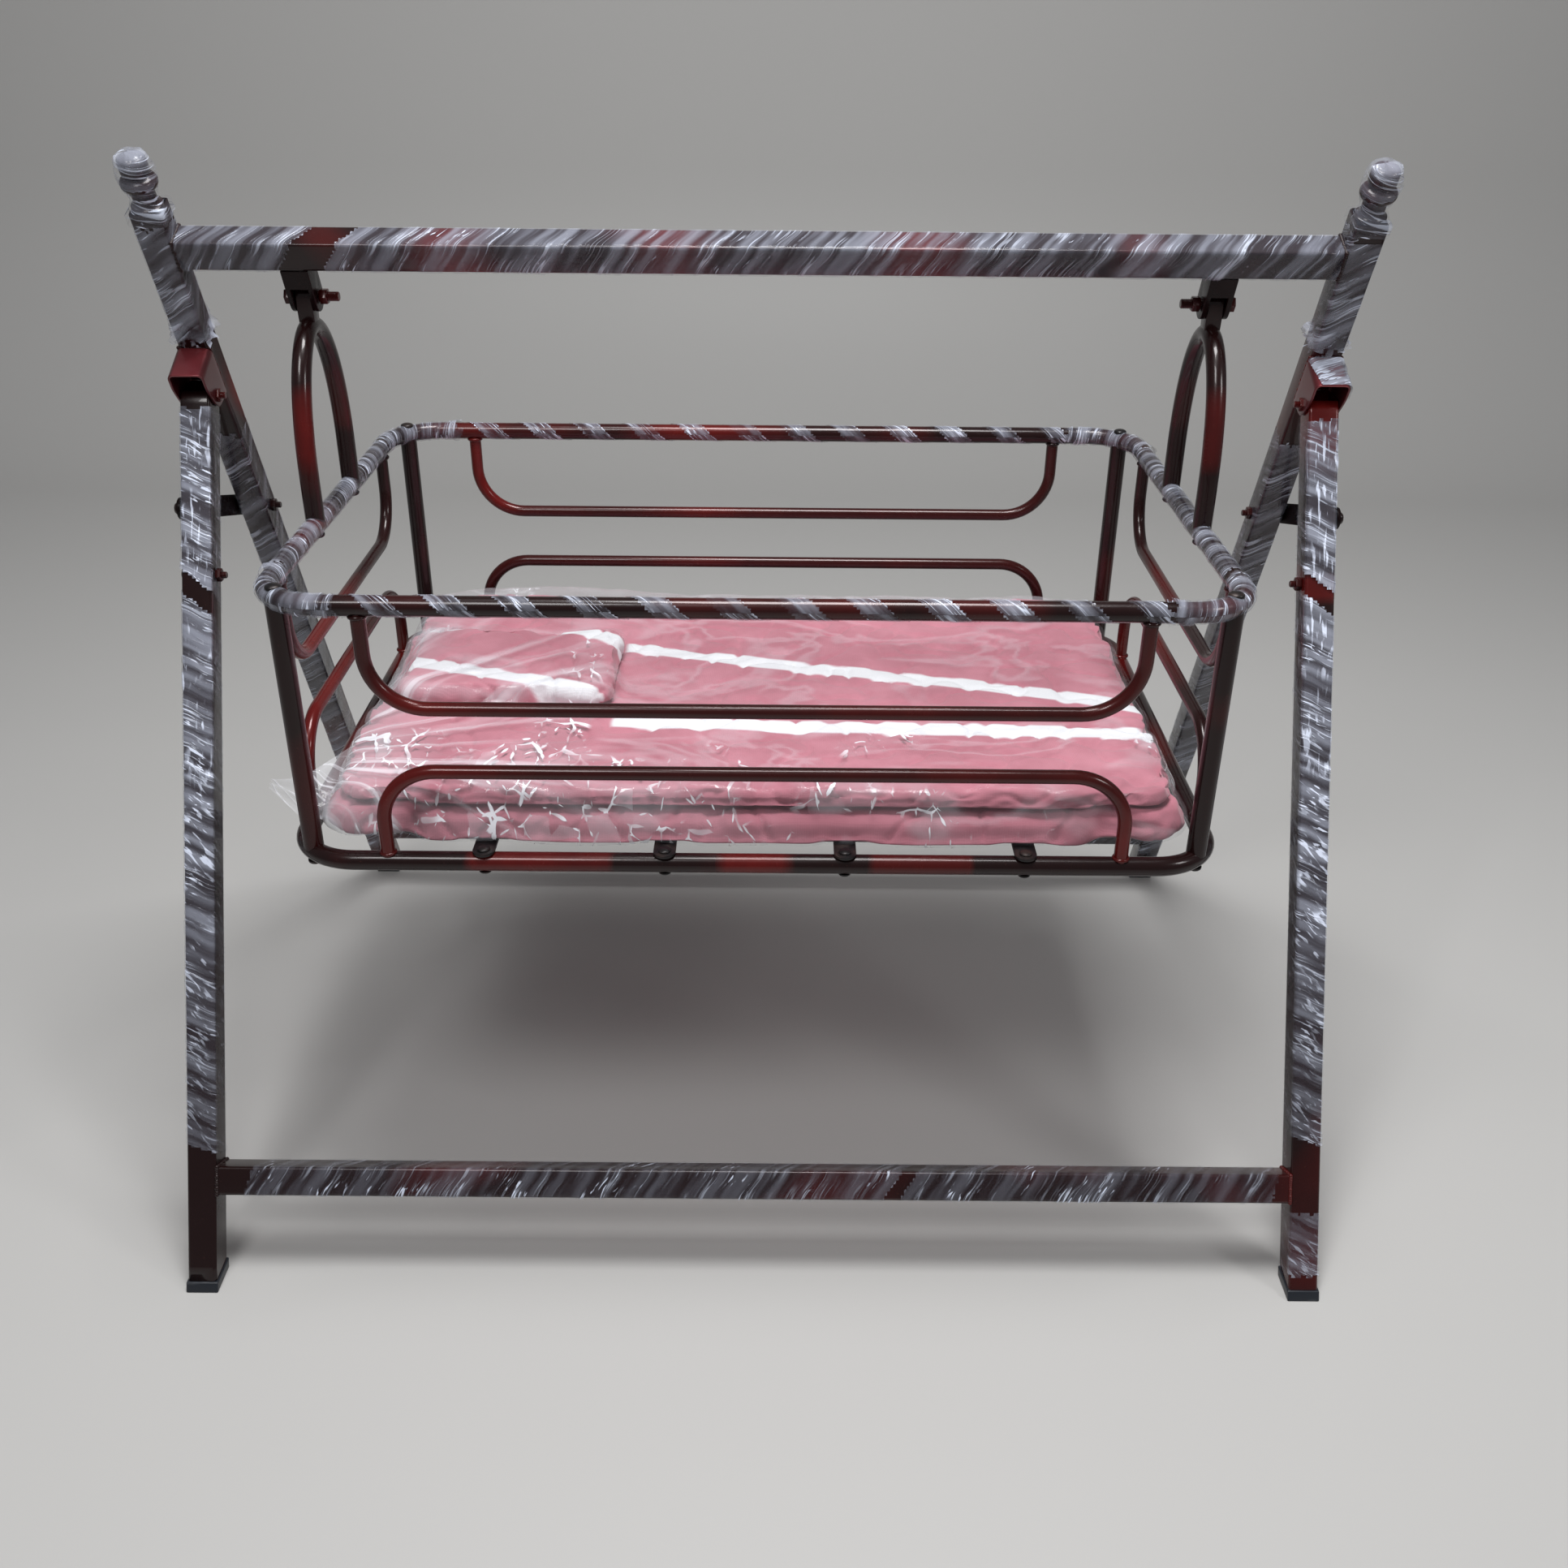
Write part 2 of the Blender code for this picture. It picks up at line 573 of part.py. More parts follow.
def build_stays():
    """Flat strips that turn on the upright and hook down over a stud on the front leg."""
    reach = STUD_AT - STAY_BOLT_AT
    length = hypot(reach.y, reach.z)
    along = Vector((0, reach.y, reach.z)) / length
    across = Vector((0, along.z, -along.y))
    half = STAY_WIDTH / 2
    notch = FRAME_BOLT[0] + STAY_NOTCH_CLEARANCE
    end = length + STAY_END - half
    strip = slot_outline(0, end, half)
    flare = 1.7 * notch
    lean, drop = sin(STAY_HOOK), cos(STAY_HOOK)
    foot = (length - STAY_WIDTH * lean, -STAY_WIDTH * drop)
    mouth = [(length + notch * drop, -notch * lean), (foot[0] + flare * drop, foot[1] - flare * lean)]
    mouth += [(foot[0] - flare * drop, foot[1] + flare * lean), (length - notch * drop, notch * lean)]
    mouth += arc((length, 0), notch, pi - STAY_HOOK, -STAY_HOOK, 8)[1:-1]
    boss_radius = FRAME_BOLT[1] + SIDE_CLEARANCE
    boss = STAY_STANDOFF - SEAT_GAP
    for side, sign in SIDES.items():
        frame = Matrix.Identity(4)
        frame.col[0] = (*along, 0)
        frame.col[1] = (*across, 0)
        frame.col[2] = (*along.cross(across), 0)
        middle = sign * (STAY_X + STAY_THICK / 2)
        place = Matrix.Translation(at_side(STAY_BOLT_AT, middle)) @ frame
        body = outline_solid([strip], STAY_THICK, place)
        stay = node(side + "_stay", body, DARK_MAROON, STAY_AXIS[side])
        seat = at_side(STAY_BOLT_AT, sign * (STAY_X - boss / 2 + STAY_THICK / 4))
        collar = cylinder(boss_radius, boss + STAY_THICK / 2, along_x(seat))
        boolean(stay, side + "_stay_boss", "UNION", collar)
        drill(stay, side + "_stay_bore", [bore_along_x(FRAME_BOLT, STAY_BOLT_AT, sign, 4 * TUBE)])
        boolean(stay, side + "_stay_notch", "DIFFERENCE", outline_solid([mouth], 4 * STAY_THICK, place))


def build_pivots():
    """Clevises under the beam with their bolts and nuts."""
    half = CLEVIS_OUTER / 2
    for side, sign in SIDES.items():
        x = sign * HANGER_X
        body, slot = clevis(x)
        piece = node(side + "_clevis", body, DARK_MAROON)
        boolean(piece, side + "_clevis_slot", "DIFFERENCE", slot)
        bore = (SWING_BOLT[0] + BORE_CLEARANCE, 3 * CLEVIS_OUTER, along_x(at_side(PIVOT, x)))
        drill(piece, side + "_clevis_bore", [bore])
        grip = CLEVIS_OUTER + 3 * SEAT_GAP + SWING_NUT_HEIGHT + SWING_THREAD
        shank, head, height = SWING_BOLT
        place = outward(PIVOT, HANGER_X + half + SEAT_GAP, sign)
        cap = outline_solid([hexagon(head)], height, place @ Matrix.Translation((0, 0, height / 2)))
        pin = node(side + "_swing_bolt", cap, MAROON)
        length = grip + height / 2
        shaft = cylinder(shank, length, place @ Matrix.Translation((0, 0, height / 2 - length / 2)))
        boolean(pin, side + "_swing_shank", "UNION", shaft)
        seat = sign * (HANGER_X - half - SEAT_GAP - SWING_NUT_HEIGHT / 2)
        node(side + "_swing_nut", nut(SWING_BOLT, SWING_NUT_HEIGHT, along_x(at_side(PIVOT, seat))), MAROON)


# Basket

def rounded_rectangle(half_x, half_y, radius, steps):
    """Points of a rectangle with round corners, counter-clockwise."""
    points = []
    for index, (sx, sy) in enumerate(((1, 1), (-1, 1), (-1, -1), (1, -1))):
        centre = (sx * (half_x - radius), sy * (half_y - radius))
        points += arc(centre, radius, index * pi / 2, (index + 1) * pi / 2, steps)
    return points


def u_path(half, height, radius):
    """Points of a U that opens upwards: its bar at 0 and its legs up to a height."""
    right = arc((half - radius, radius), radius, -pi / 2, 0, BEND_STEPS) + [(half, height)]
    return [(-u, v) for u, v in reversed(right)] + right


def vertical_bore(size, x, y, low, high):
    """Vertical bore between two heights, for drill()."""
    return (size[0] + BORE_CLEARANCE, high - low, Matrix.Translation((x, y, (low + high) / 2)))


def corner_places():
    """Name and place of each corner post."""
    return {row + "_" + side: (sign * POST_X, PIVOT.y + row_sign * POST_Y)
            for row, row_sign in (("front", -1), ("back", 1)) for side, sign in SIDES.items()}


def hoop_feet():
    """Places where the hanger hoops stand on the end rails."""
    return [(sign * HANGER_X, PIVOT.y + foot * HOOP_HALF) for sign in SIDES.values() for foot in (-1, 1)]


def cross_slat_places():
    """X of each cross slat."""
    return [(i - (CROSS_SLAT_COUNT - 1) / 2) * CROSS_SLAT_PITCH for i in range(CROSS_SLAT_COUNT)]


def rivet_places():
    """Places where the cross slats are riveted to the rails."""
    return [(x, PIVOT.y + row * BASKET_HALF_WIDTH) for x in cross_slat_places() for row in (-1, 1)]


def build_rings():
    """Top and bottom rings, hollow corner posts and the tie bolts that run through them."""
    plan = rounded_rectangle(HANGER_X, BASKET_HALF_WIDTH, BASKET_CORNER, BEND_STEPS)
    corners = list(corner_places().values())
    for name, z in (("top_ring", TOP_RING_Z), ("bottom_ring", BOTTOM_RING_Z)):
        ring = node(name, tube([(x, PIVOT.y + y, z) for x, y in plan], RAIL_RADIUS, cyclic=True), MAROON,
                    SWING_AXIS, smooth=True)
        low, high = z - 2 * RAIL_RADIUS, z + 2 * RAIL_RADIUS
        bores = [vertical_bore(RAIL_BOLT, x, y, low, high) for x, y in corners]
        if name == "top_ring":
            bores += [vertical_bore(RAIL_BOLT, x, y, low, high) for x, y in hoop_feet()]
        else:
            bores += [vertical_bore(SLAT_RIVET, x, y, low, high) for x, y in rivet_places()]
        drill(ring, name + "_bores", bores)

    post_low = BOTTOM_RING_Z + RAIL_RADIUS + SEAT_GAP
    post_high = TOP_RING_Z - RAIL_RADIUS - SEAT_GAP
    section = [circle(RAIL_RADIUS), circle(RAIL_RADIUS - POST_WALL)]
    head = TOP_RING_Z + RAIL_RADIUS + SEAT_GAP
    grip = RING_SPACING + 2 * (RAIL_RADIUS + SEAT_GAP)
    for name, (x, y) in corner_places().items():
        place = Matrix.Translation((x, y, (post_low + post_high) / 2))
        post = outline_solid(section, post_high - post_low, place)
        node(name + "_post", post, MAROON, SWING_AXIS, smooth=True)
        node(name + "_tie_bolt", tie_bolt(RAIL_BOLT, grip, Matrix.Translation((x, y, head))), BLACK_BOLT,
             SWING_AXIS, smooth=True)


def build_rods():
    """The bent guard rods: one hangs from the top ring and one rises from the bottom ring on each side."""
    runs = {
        "front": (SIDE_ROD_HALF, lambda u: (u, PIVOT.y - BASKET_HALF_WIDTH)),
        "back": (SIDE_ROD_HALF, lambda u: (u, PIVOT.y + BASKET_HALF_WIDTH)),
        "left": (END_ROD_HALF, lambda u: (-HANGER_X, PIVOT.y + u)),
        "right": (END_ROD_HALF, lambda u: (HANGER_X, PIVOT.y + u)),
    }
    seat = RAIL_RADIUS + SEAT_GAP
    for name, (half, plan) in runs.items():
        hung = u_path(half, UPPER_ROD_DROP - seat, ROD_BEND)
        low = TOP_RING_Z - UPPER_ROD_DROP
        node(name + "_upper_rod", tube([(*plan(u), low + v) for u, v in hung], ROD_RADIUS, resolution=2),
             MAROON, SWING_AXIS, smooth=True)
        stood = u_path(half, LOWER_ROD_RISE - seat, ROD_BEND)
        high = BOTTOM_RING_Z + LOWER_ROD_RISE
        node(name + "_lower_rod", tube([(*plan(u), high - v) for u, v in stood], ROD_RADIUS, resolution=2),
             MAROON, SWING_AXIS, smooth=True)


def hoop_path(x):
    """Axis of a hanger hoop: two straight legs and an elliptical arch."""
    base = TOP_RING_Z + RAIL_RADIUS + SEAT_GAP
    spring = PIVOT.z - HOOP_APEX_DROP - HOOP_ARCH
    steps = 4 * BEND_STEPS
    arch = [(x, PIVOT.y - HOOP_HALF * cos(pi * i / steps), spring + HOOP_ARCH * sin(pi * i / steps))
            for i in range(steps + 1)]
    return [(x, PIVOT.y - HOOP_HALF, base)] + arch + [(x, PIVOT.y + HOOP_HALF, base)]


def build_hangers():
    """Hoops with their pivot tongues, and with threaded feet that are nutted under the end rails."""
    half = TONGUE_WIDTH / 2
    tongue = arc((0, 0), half, 0, pi, 12) + [(-0.7 * half, -HOOP_APEX_DROP), (0.7 * half, -HOOP_APEX_DROP)]
    foot = TOP_RING_Z + RAIL_RADIUS + SEAT_GAP
    grip = 2 * (RAIL_RADIUS + SEAT_GAP)
    for side, sign in SIDES.items():
        x = sign * HANGER_X
        frame = Matrix.Translation(at_side(PIVOT, x)) @ YZ_PLANE
        hoop = node(side + "_hanger", tube(hoop_path(x), RAIL_RADIUS), MAROON, SWING_AXIS, smooth=True)
        boolean(hoop, side + "_tongue", "UNION", outline_solid([tongue], TONGUE_THICK, frame))
        for index, (px, py) in enumerate(hoop_feet()):
            if px * sign > 0:
                pin = spigot(RAIL_BOLT, grip, Matrix.Translation((px, py, foot)))
                boolean(hoop, "%s_hoop_foot_%d" % (side, index), "UNION", pin)
        bore = (SWING_BOLT[0] + BORE_CLEARANCE, 2 * TONGUE_THICK, along_x(at_side(PIVOT, x)))
        drill(hoop, side + "_hanger_bore", [bore])


def build_slats():
    """Cross slats with their rivets on the long rails, and long slats between the end rails."""
    strip = slot_outline(-BASKET_HALF_WIDTH, BASKET_HALF_WIDTH, SLAT_WIDTH / 2)
    grip = 2 * (RAIL_RADIUS + SEAT_GAP)
    under = CROSS_SLAT_Z - SLAT_THICK / 2
    shank, head, height = SLAT_RIVET
    top = SLAT_THICK + height
    rivet = [(0, top), (0.8 * head, SLAT_THICK + 0.6 * height), (head, SLAT_THICK), (head, 0.5 * SLAT_THICK),
             (shank, 0.5 * SLAT_THICK), (shank, -grip), (head, -grip), (0.8 * head, -grip - 0.6 * height),
             (0, -grip - height)]
    for index, x in enumerate(cross_slat_places()):
        name = "cross_slat_%d" % (index + 1)
        frame = Matrix.Translation((x, PIVOT.y, CROSS_SLAT_Z)) @ Matrix.Rotation(pi / 2, 4, "Z")
        slat = node(name, outline_solid([strip], SLAT_THICK, frame), BLACK_BOLT, SWING_AXIS)
        for row, row_sign in (("front", -1), ("back", 1)):
            place = Matrix.Translation((x, PIVOT.y + row_sign * BASKET_HALF_WIDTH, under))
            boolean(slat, "%s_%s_rivet" % (name, row), "UNION", turned(rivet, place, 8))
    end = HANGER_X - RAIL_RADIUS - SEAT_GAP
    flat = [(end, SLAT_WIDTH / 2), (-end, SLAT_WIDTH / 2), (-end, -SLAT_WIDTH / 2), (end, -SLAT_WIDTH / 2)]
    for name, row in (("front", -1), ("middle", 0), ("back", 1)):
        frame = Matrix.Translation((0, PIVOT.y + row * LONG_SLAT_PITCH, BOTTOM_RING_Z))
        node(name + "_long_slat", outline_solid([flat], SLAT_THICK, frame), BLACK_BOLT, SWING_AXIS)


# Bedding

def cushion(size, place, cuts, edge, pull, flatness, round_corner):
    """A stuffed pad on a flat base: a crown that falls to a thin edge, and sides drawn in between corners."""
    length, width, height = size
    mesh = bpy.data.meshes.new("cushion")
    work = bmesh.new()
    bmesh.ops.create_cube(work, size=2)
    bmesh.ops.subdivide_edges(work, edges=work.edges, cuts=cuts, use_grid_fill=True)
    for vert in work.verts:
        u, v, w = vert.co
        swell = (1 - abs(u) ** flatness) * (1 - abs(v) ** flatness)
        base = (1 - abs(u) ** 12) * (1 - abs(v) ** 12)
        low = 0.25 * height * (1 - edge) * (1 - base)
        high = height * (edge + (1 - edge) * swell) + low
        side_u, side_v = sin(pi / 2 * u), sin(pi / 2 * v)
        drawn_u = side_u * (1 - pull * (1 - v * v)) * (1 - round_corner * v ** 6 * abs(u) ** 3)
        drawn_v = side_v * (1 - pull * (1 - u * u)) * (1 - round_corner * u ** 6 * abs(v) ** 3)
        z = low + (high - low) * (w + 1) / 2
        vert.co = (drawn_u * length / 2, drawn_v * width / 2, z)
    bmesh.ops.translate(work, vec=place, verts=work.verts)
    work.to_mesh(mesh)
    work.free()
    return mesh


def soft(name, mesh):
    """A padded piece, smoothed from its cage."""
    piece = node(name, mesh, PINK_CLOTH, SWING_AXIS, smooth=True)
    modifier = piece.modifiers.new("subdivision", "SUBSURF")
    modifier.levels = 1
    modifier.render_levels = 1


def build_bedding():
    """Mattress on the slats, folded quilt on the mattress, pillow at the left end of the quilt."""
    soft("mattress", cushion(MATTRESS_SIZE, (0, PIVOT.y, MATTRESS_Z), 4, 0.35, 0.012, 10, 0.05))
    quilt_z = MATTRESS_Z + MATTRESS_SIZE[2] + SEAT_GAP
    soft("folded_quilt", cushion(QUILT_SIZE, (0, PIVOT.y, quilt_z), 4, 0.5, 0.010, 10, 0.05))
    pillow_x = (PILLOW_SIZE[0] - QUILT_SIZE[0]) / 2 + PILLOW_INSET[0]
    pillow_y = PIVOT.y + (QUILT_SIZE[1] - PILLOW_SIZE[1]) / 2 - PILLOW_INSET[1]
    pillow_z = quilt_z + QUILT_SIZE[2] + SEAT_GAP
    soft("pillow", cushion(PILLOW_SIZE, (pillow_x, pillow_y, pillow_z), 3, 0.3, 0.03, 4, 0.06))


build_stand()
build_stays()
build_pivots()
build_rings()
build_rods()
build_hangers()
build_slats()
build_bedding()
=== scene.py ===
"""Looks of a baby cradle swing: a film-wrapped folding stand with a railed basket and bagged bedding.

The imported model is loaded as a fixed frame. Each class below dresses one sub-assembly of it. Sizes are
in metres, X runs along the top beam, -Y is the front and +Z is up.
"""

from __future__ import annotations

import json
import logging
import math
from dataclasses import dataclass, field
from enum import Enum
from typing import Any, Callable, ClassVar, Iterable, Sequence

import bmesh
import bpy
import numpy as np
from mathutils import Matrix, Vector, noise

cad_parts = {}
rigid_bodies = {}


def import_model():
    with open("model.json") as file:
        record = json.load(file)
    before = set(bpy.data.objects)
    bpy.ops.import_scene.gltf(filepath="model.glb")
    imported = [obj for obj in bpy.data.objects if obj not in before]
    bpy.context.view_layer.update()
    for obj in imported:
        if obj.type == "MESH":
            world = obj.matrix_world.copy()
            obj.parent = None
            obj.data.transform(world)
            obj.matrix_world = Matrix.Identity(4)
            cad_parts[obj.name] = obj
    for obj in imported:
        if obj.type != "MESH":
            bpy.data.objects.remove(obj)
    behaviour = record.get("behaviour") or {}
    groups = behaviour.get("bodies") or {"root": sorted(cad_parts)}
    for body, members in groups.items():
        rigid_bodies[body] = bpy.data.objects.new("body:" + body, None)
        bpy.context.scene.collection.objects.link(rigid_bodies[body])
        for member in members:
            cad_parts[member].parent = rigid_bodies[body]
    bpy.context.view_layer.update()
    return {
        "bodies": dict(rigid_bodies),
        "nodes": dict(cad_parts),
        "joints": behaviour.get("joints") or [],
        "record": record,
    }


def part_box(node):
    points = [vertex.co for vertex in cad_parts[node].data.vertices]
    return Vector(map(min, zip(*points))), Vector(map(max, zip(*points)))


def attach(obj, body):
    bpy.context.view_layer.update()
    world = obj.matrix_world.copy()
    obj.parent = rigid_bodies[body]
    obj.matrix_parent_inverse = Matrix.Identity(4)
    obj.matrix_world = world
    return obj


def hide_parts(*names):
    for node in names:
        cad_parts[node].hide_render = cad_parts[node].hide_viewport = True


LOG = logging.getLogger("cradle_swing")
Colour = tuple[float, float, float]
Point = tuple[float, float, float]
Pair = tuple[float, float]
Profile = list[Pair]
Mesh = bpy.types.Mesh

# Places that several sub-assemblies share, as in the part's source
LEAN = math.radians(25.6)
UP = Vector((0.0, -math.sin(LEAN), math.cos(LEAN)))
OUT = Vector((0.0, -math.cos(LEAN), -math.sin(LEAN)))
LEG_UP = Vector((0.0, math.sin(LEAN), math.cos(LEAN)))
REAR_FOOT = Vector((0.0, 0.348, 0.0))
FRONT_FOOT = Vector((0.0, -0.348, 0.0))
PIVOT = Vector((0.0, -0.021866, 0.771969))
SIDES = {"left": -1.0, "right": 1.0}
CORNERS = ((1, 1), (-1, 1), (-1, -1), (1, -1))
SEAT_GAP = 0.0003
BEAD_SPACING = 0.0021
FRAME: dict[str, Any] = {}

# Edges sharper than these stay sharp, in degrees
EASED_EDGE, HOOP_EDGE, TUBE_EDGE, ROD_EDGE, BEAD_EDGE, NO_EDGE = 40.0, 45.0, 50.0, 60.0, 80.0, 180.0
# Edges of plates and copied nodes that turn by more than these are eased, in radians
PLATE_RIM, NODE_RIM, HOOD_RIM = 0.6, math.radians(35.0), math.radians(60.0)


class Body(str, Enum):
    """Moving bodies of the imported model."""

    REAR = "rear_frame"
    FRONT = "front_frame"
    LEFT_STAY = "left_stay"
    RIGHT_STAY = "right_stay"
    BASKET = "basket"


class Slot(str, Enum):
    """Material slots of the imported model."""

    PAINT = "maroon_paint"
    DARK = "dark_maroon_paint"
    BOLT = "black_bolt"
    PLASTIC = "black_plastic"
    CLOTH = "pink_cloth"


def linked(name: str, data: bpy.types.ID) -> bpy.types.Object:
    """Make an object of some data and link it in the scene."""
    item = bpy.data.objects.new(name, data)
    bpy.context.scene.collection.objects.link(item)
    return item


def made(name: str, work: bmesh.types.BMesh) -> Mesh:
    """Turn mesh work into a new mesh and free it.

    Args:
        name: name of the mesh.
        work: the mesh work, which is freed.

    Returns:
        The new mesh.
    """
    mesh = bpy.data.meshes.new(name)
    work.to_mesh(mesh)
    work.free()
    return mesh


def bridged(work: bmesh.types.BMesh, rows: Sequence[Sequence[bmesh.types.BMVert]]) -> None:
    """Fill the space between rows of points with four-sided faces."""
    for near, far in zip(rows, rows[1:]):
        for corners in zip(near, near[1:], far[1:], far):
            work.faces.new(corners)


def angles(whole: float, steps: int) -> list[float]:
    """Even angles from 0 to a whole angle."""
    return [whole * i / steps for i in range(steps + 1)]


def spaced(corners: Sequence[Vector], spacing: float = BEAD_SPACING) -> list[Point]:
    """Points at about even distances on the lines between corners, without the last corner.

    Args:
        corners: ends of the lines in order.
        spacing: about the distance between points.

    Returns:
        The points in order.
    """
    points = []
    for start, end in zip(corners, corners[1:]):
        count = max(2, round((end - start).length / spacing))
        points += [tuple(start.lerp(end, i / count)) for i in range(count)]
    return points


def operator(operation: str, swap: bool = False) -> Callable[..., Wire]:
    """Make an arithmetic method for wires.

    Args:
        operation: name of the Math node's operation.
        swap: put the other value first, for a reflected form.

    Returns:
        The method.
    """
    def method(wire: Wire, other: Any = None) -> Wire:
        """Add the operator's Math node."""
        return wire.math(operation, other, swap)
    return method


class Wire:
    """A node socket that takes part in Python arithmetic."""

    def __init__(self, bench: Bench, socket: bpy.types.NodeSocket) -> None:
        """Wrap an output socket of a bench's tree."""
        self.bench = bench
        self.socket = socket

    def math(self, operation: str, other: Any = None, swap: bool = False) -> Wire:
        """Add a Math node.

        Args:
            operation: name of the operation.
            other: second value or wire, if the operation takes one.
            swap: put the other value first.

        Returns:
            The node's result.
        """
        values = {0: self} if other is None else {0: other, 1: self} if swap else {0: self, 1: other}
        return self.bench.node("ShaderNodeMath", {"operation": operation}, values)

    __add__, __radd__ = operator("ADD"), operator("ADD", True)
    __sub__, __rsub__ = operator("SUBTRACT"), operator("SUBTRACT", True)
    __mul__, __rmul__ = operator("MULTIPLY"), operator("MULTIPLY", True)
    __truediv__, __rtruediv__ = operator("DIVIDE"), operator("DIVIDE", True)
    __pow__, __gt__, __abs__ = operator("POWER"), operator("GREATER_THAN"), operator("ABSOLUTE")

    def ease(self, low: float, high: float) -> Wire:
        """A smooth step from 0 at low to 1 at high."""
        return self.bench.node("ShaderNodeMapRange", {"interpolation_type": "SMOOTHSTEP"},
                               {0: self, 1: low, 2: high, 3: 0.0, 4: 1.0})


class Bench:
    """Makes nodes in a shader or geometry tree."""

    def __init__(self, tree: bpy.types.NodeTree) -> None:
        """Work on a tree."""
        self.tree = tree

    def node(self, kind: str, settings: dict[str, Any] | None = None, sockets: dict[Any, Any] | None = None,
             output: int | str = 0) -> Wire:
        """Add one node.

        Args:
            kind: type name of the node.
            settings: properties that are set first.
            sockets: a value or a wire for each named or numbered input.
            output: which output to return.

        Returns:
            The wrapped output.
        """
        item = self.tree.nodes.new(kind)
        for name, value in (settings or {}).items():
            setattr(item, name, value)
        for key, value in (sockets or {}).items():
            if isinstance(value, Wire):
                self.tree.links.new(value.socket, item.inputs[key])
            else:
                item.inputs[key].default_value = value
        return Wire(self, item.outputs[output])

    def vector(self, x: Any, y: Any, z: Any) -> Wire:
        """Join three values in a vector."""
        return self.node("ShaderNodeCombineXYZ", None, {0: x, 1: y, 2: z})

    def stretch(self, vector: Wire, scale: Point, shift: Point = (0.0, 0.0, 0.0)) -> Wire:
        """Scale and shift a vector."""
        return self.node("ShaderNodeMapping", None, {"Vector": vector, "Scale": scale, "Location": shift})

    def noise(self, vector: Wire, scale: float, detail: float = 3.0, roughness: float = 0.5,
              distortion: float = 0.0) -> Wire:
        """Noise between 0 and 1."""
        values = {"Vector": vector, "Scale": scale, "Detail": detail, "Roughness": roughness,
                  "Distortion": distortion}
        return self.node("ShaderNodeTexNoise", None, values)

    def drawn(self, vector: Wire, scale: Point, detail: float = 2.0, roughness: float = 0.5,
              distortion: float = 0.0) -> Wire:
        """Noise drawn out along the axes."""
        return self.noise(self.stretch(vector, scale), 1.0, detail, roughness, distortion)

    def part(self, vector: Wire, axis: int) -> Wire:
        """One part of a vector."""
        return self.node("ShaderNodeSeparateXYZ", None, {0: vector}, axis)

    def attribute(self, name: str) -> Wire:
        """A value stored on the points, in a shader tree."""
        return self.node("ShaderNodeAttribute", {"attribute_name": name}, None, "Fac")

    def named(self, name: str) -> Wire:
        """A value stored on the points, in a geometry tree."""
        return self.node("GeometryNodeInputNamedAttribute", {"data_type": "FLOAT"}, {"Name": name})

    def mix(self, factor: Any, first: Any, second: Any) -> Wire:
        """Mix two colours."""
        values = {0: factor, 6: self.opaque(first), 7: self.opaque(second)}
        return self.node("ShaderNodeMix", {"data_type": "RGBA"}, values, 2)

    @staticmethod
    def opaque(colour: Any) -> Any:
        """Give a plain colour its alpha."""
        return colour if isinstance(colour, Wire) else (*colour, 1.0)

    def bump(self, height: Wire, strength: float, distance: float) -> Wire:
        """Turn a height into a normal."""
        return self.node("ShaderNodeBump", None, {"Strength": strength, "Distance": distance, "Height": height})


@dataclass(frozen=True)
class Finish:
    """Base of the finishes: a named Principled material."""

    name: str

    def paint(self, bench: Bench) -> dict[str, Any]:
        """Values and wires of the Principled shader's sockets."""
        raise NotImplementedError

    def material(self) -> bpy.types.Material:
        """Build the material.

        Returns:
            A new material with its node tree.
        """
        material = bpy.data.materials.new(self.name)
        material.use_nodes = True
        tree = material.node_tree
        shader = tree.nodes["Principled BSDF"]
        for key, value in self.paint(Bench(tree)).items():
            if isinstance(value, Wire):
                tree.links.new(value.socket, shader.inputs[key])
            else:
                shader.inputs[key].default_value = (*value, 1.0) if isinstance(value, tuple) else value
        return material

    @staticmethod
    def place(bench: Bench) -> Wire:
        """Object coordinates."""
        return bench.node("ShaderNodeTexCoord", output="Object")


@dataclass(frozen=True)
class CandyPaint(Finish):
    """Translucent maroon gloss paint that shades from red to near black in patches."""

    deep: Colour = (0.012, 0.0032, 0.0032)
    bright: Colour = (0.125, 0.0065, 0.0055)
    patch_scale: float = 5.5
    patch_low: float = 0.42
    patch_high: float = 0.72
    roughness: float = 0.20
    metallic: float = 0.12
    specular: float = 0.26
    coat: float = 0.26
    tint: str = "tint"

    def paint(self, bench: Bench) -> dict[str, Any]:
        """Patches of red under a glossy coat with a little orange peel; the tint attribute shifts them.

        Args:
            bench: bench of the material's tree.

        Returns:
            Values and wires of the shader's sockets.
        """
        place = self.place(bench)
        patch = bench.noise(place, self.patch_scale, 2.0, 0.4).ease(self.patch_low, self.patch_high)
        shift = bench.attribute(self.tint)
        fine = bench.noise(place, 46.0, 4.0, 0.6)
        tone = (patch + shift).math("MAXIMUM", 0.0).math("MINIMUM", 1.0) * (0.62 + fine * 0.62)
        specks = bench.noise(place, 420.0, 2.0, 0.5).ease(0.66, 0.80)
        base = bench.mix(tone, self.deep, self.bright)
        return {
            "Base Color": bench.mix(specks * 0.06, base, (0.30, 0.10, 0.08)),
            "Roughness": self.roughness + fine * 0.12,
            "Metallic": self.metallic,
            "Specular IOR Level": self.specular,
            "Coat Weight": self.coat,
            "Coat Roughness": 0.04,
            "Normal": bench.bump(bench.noise(place, 260.0, 2.0, 0.5), 0.05, 0.0006),
        }


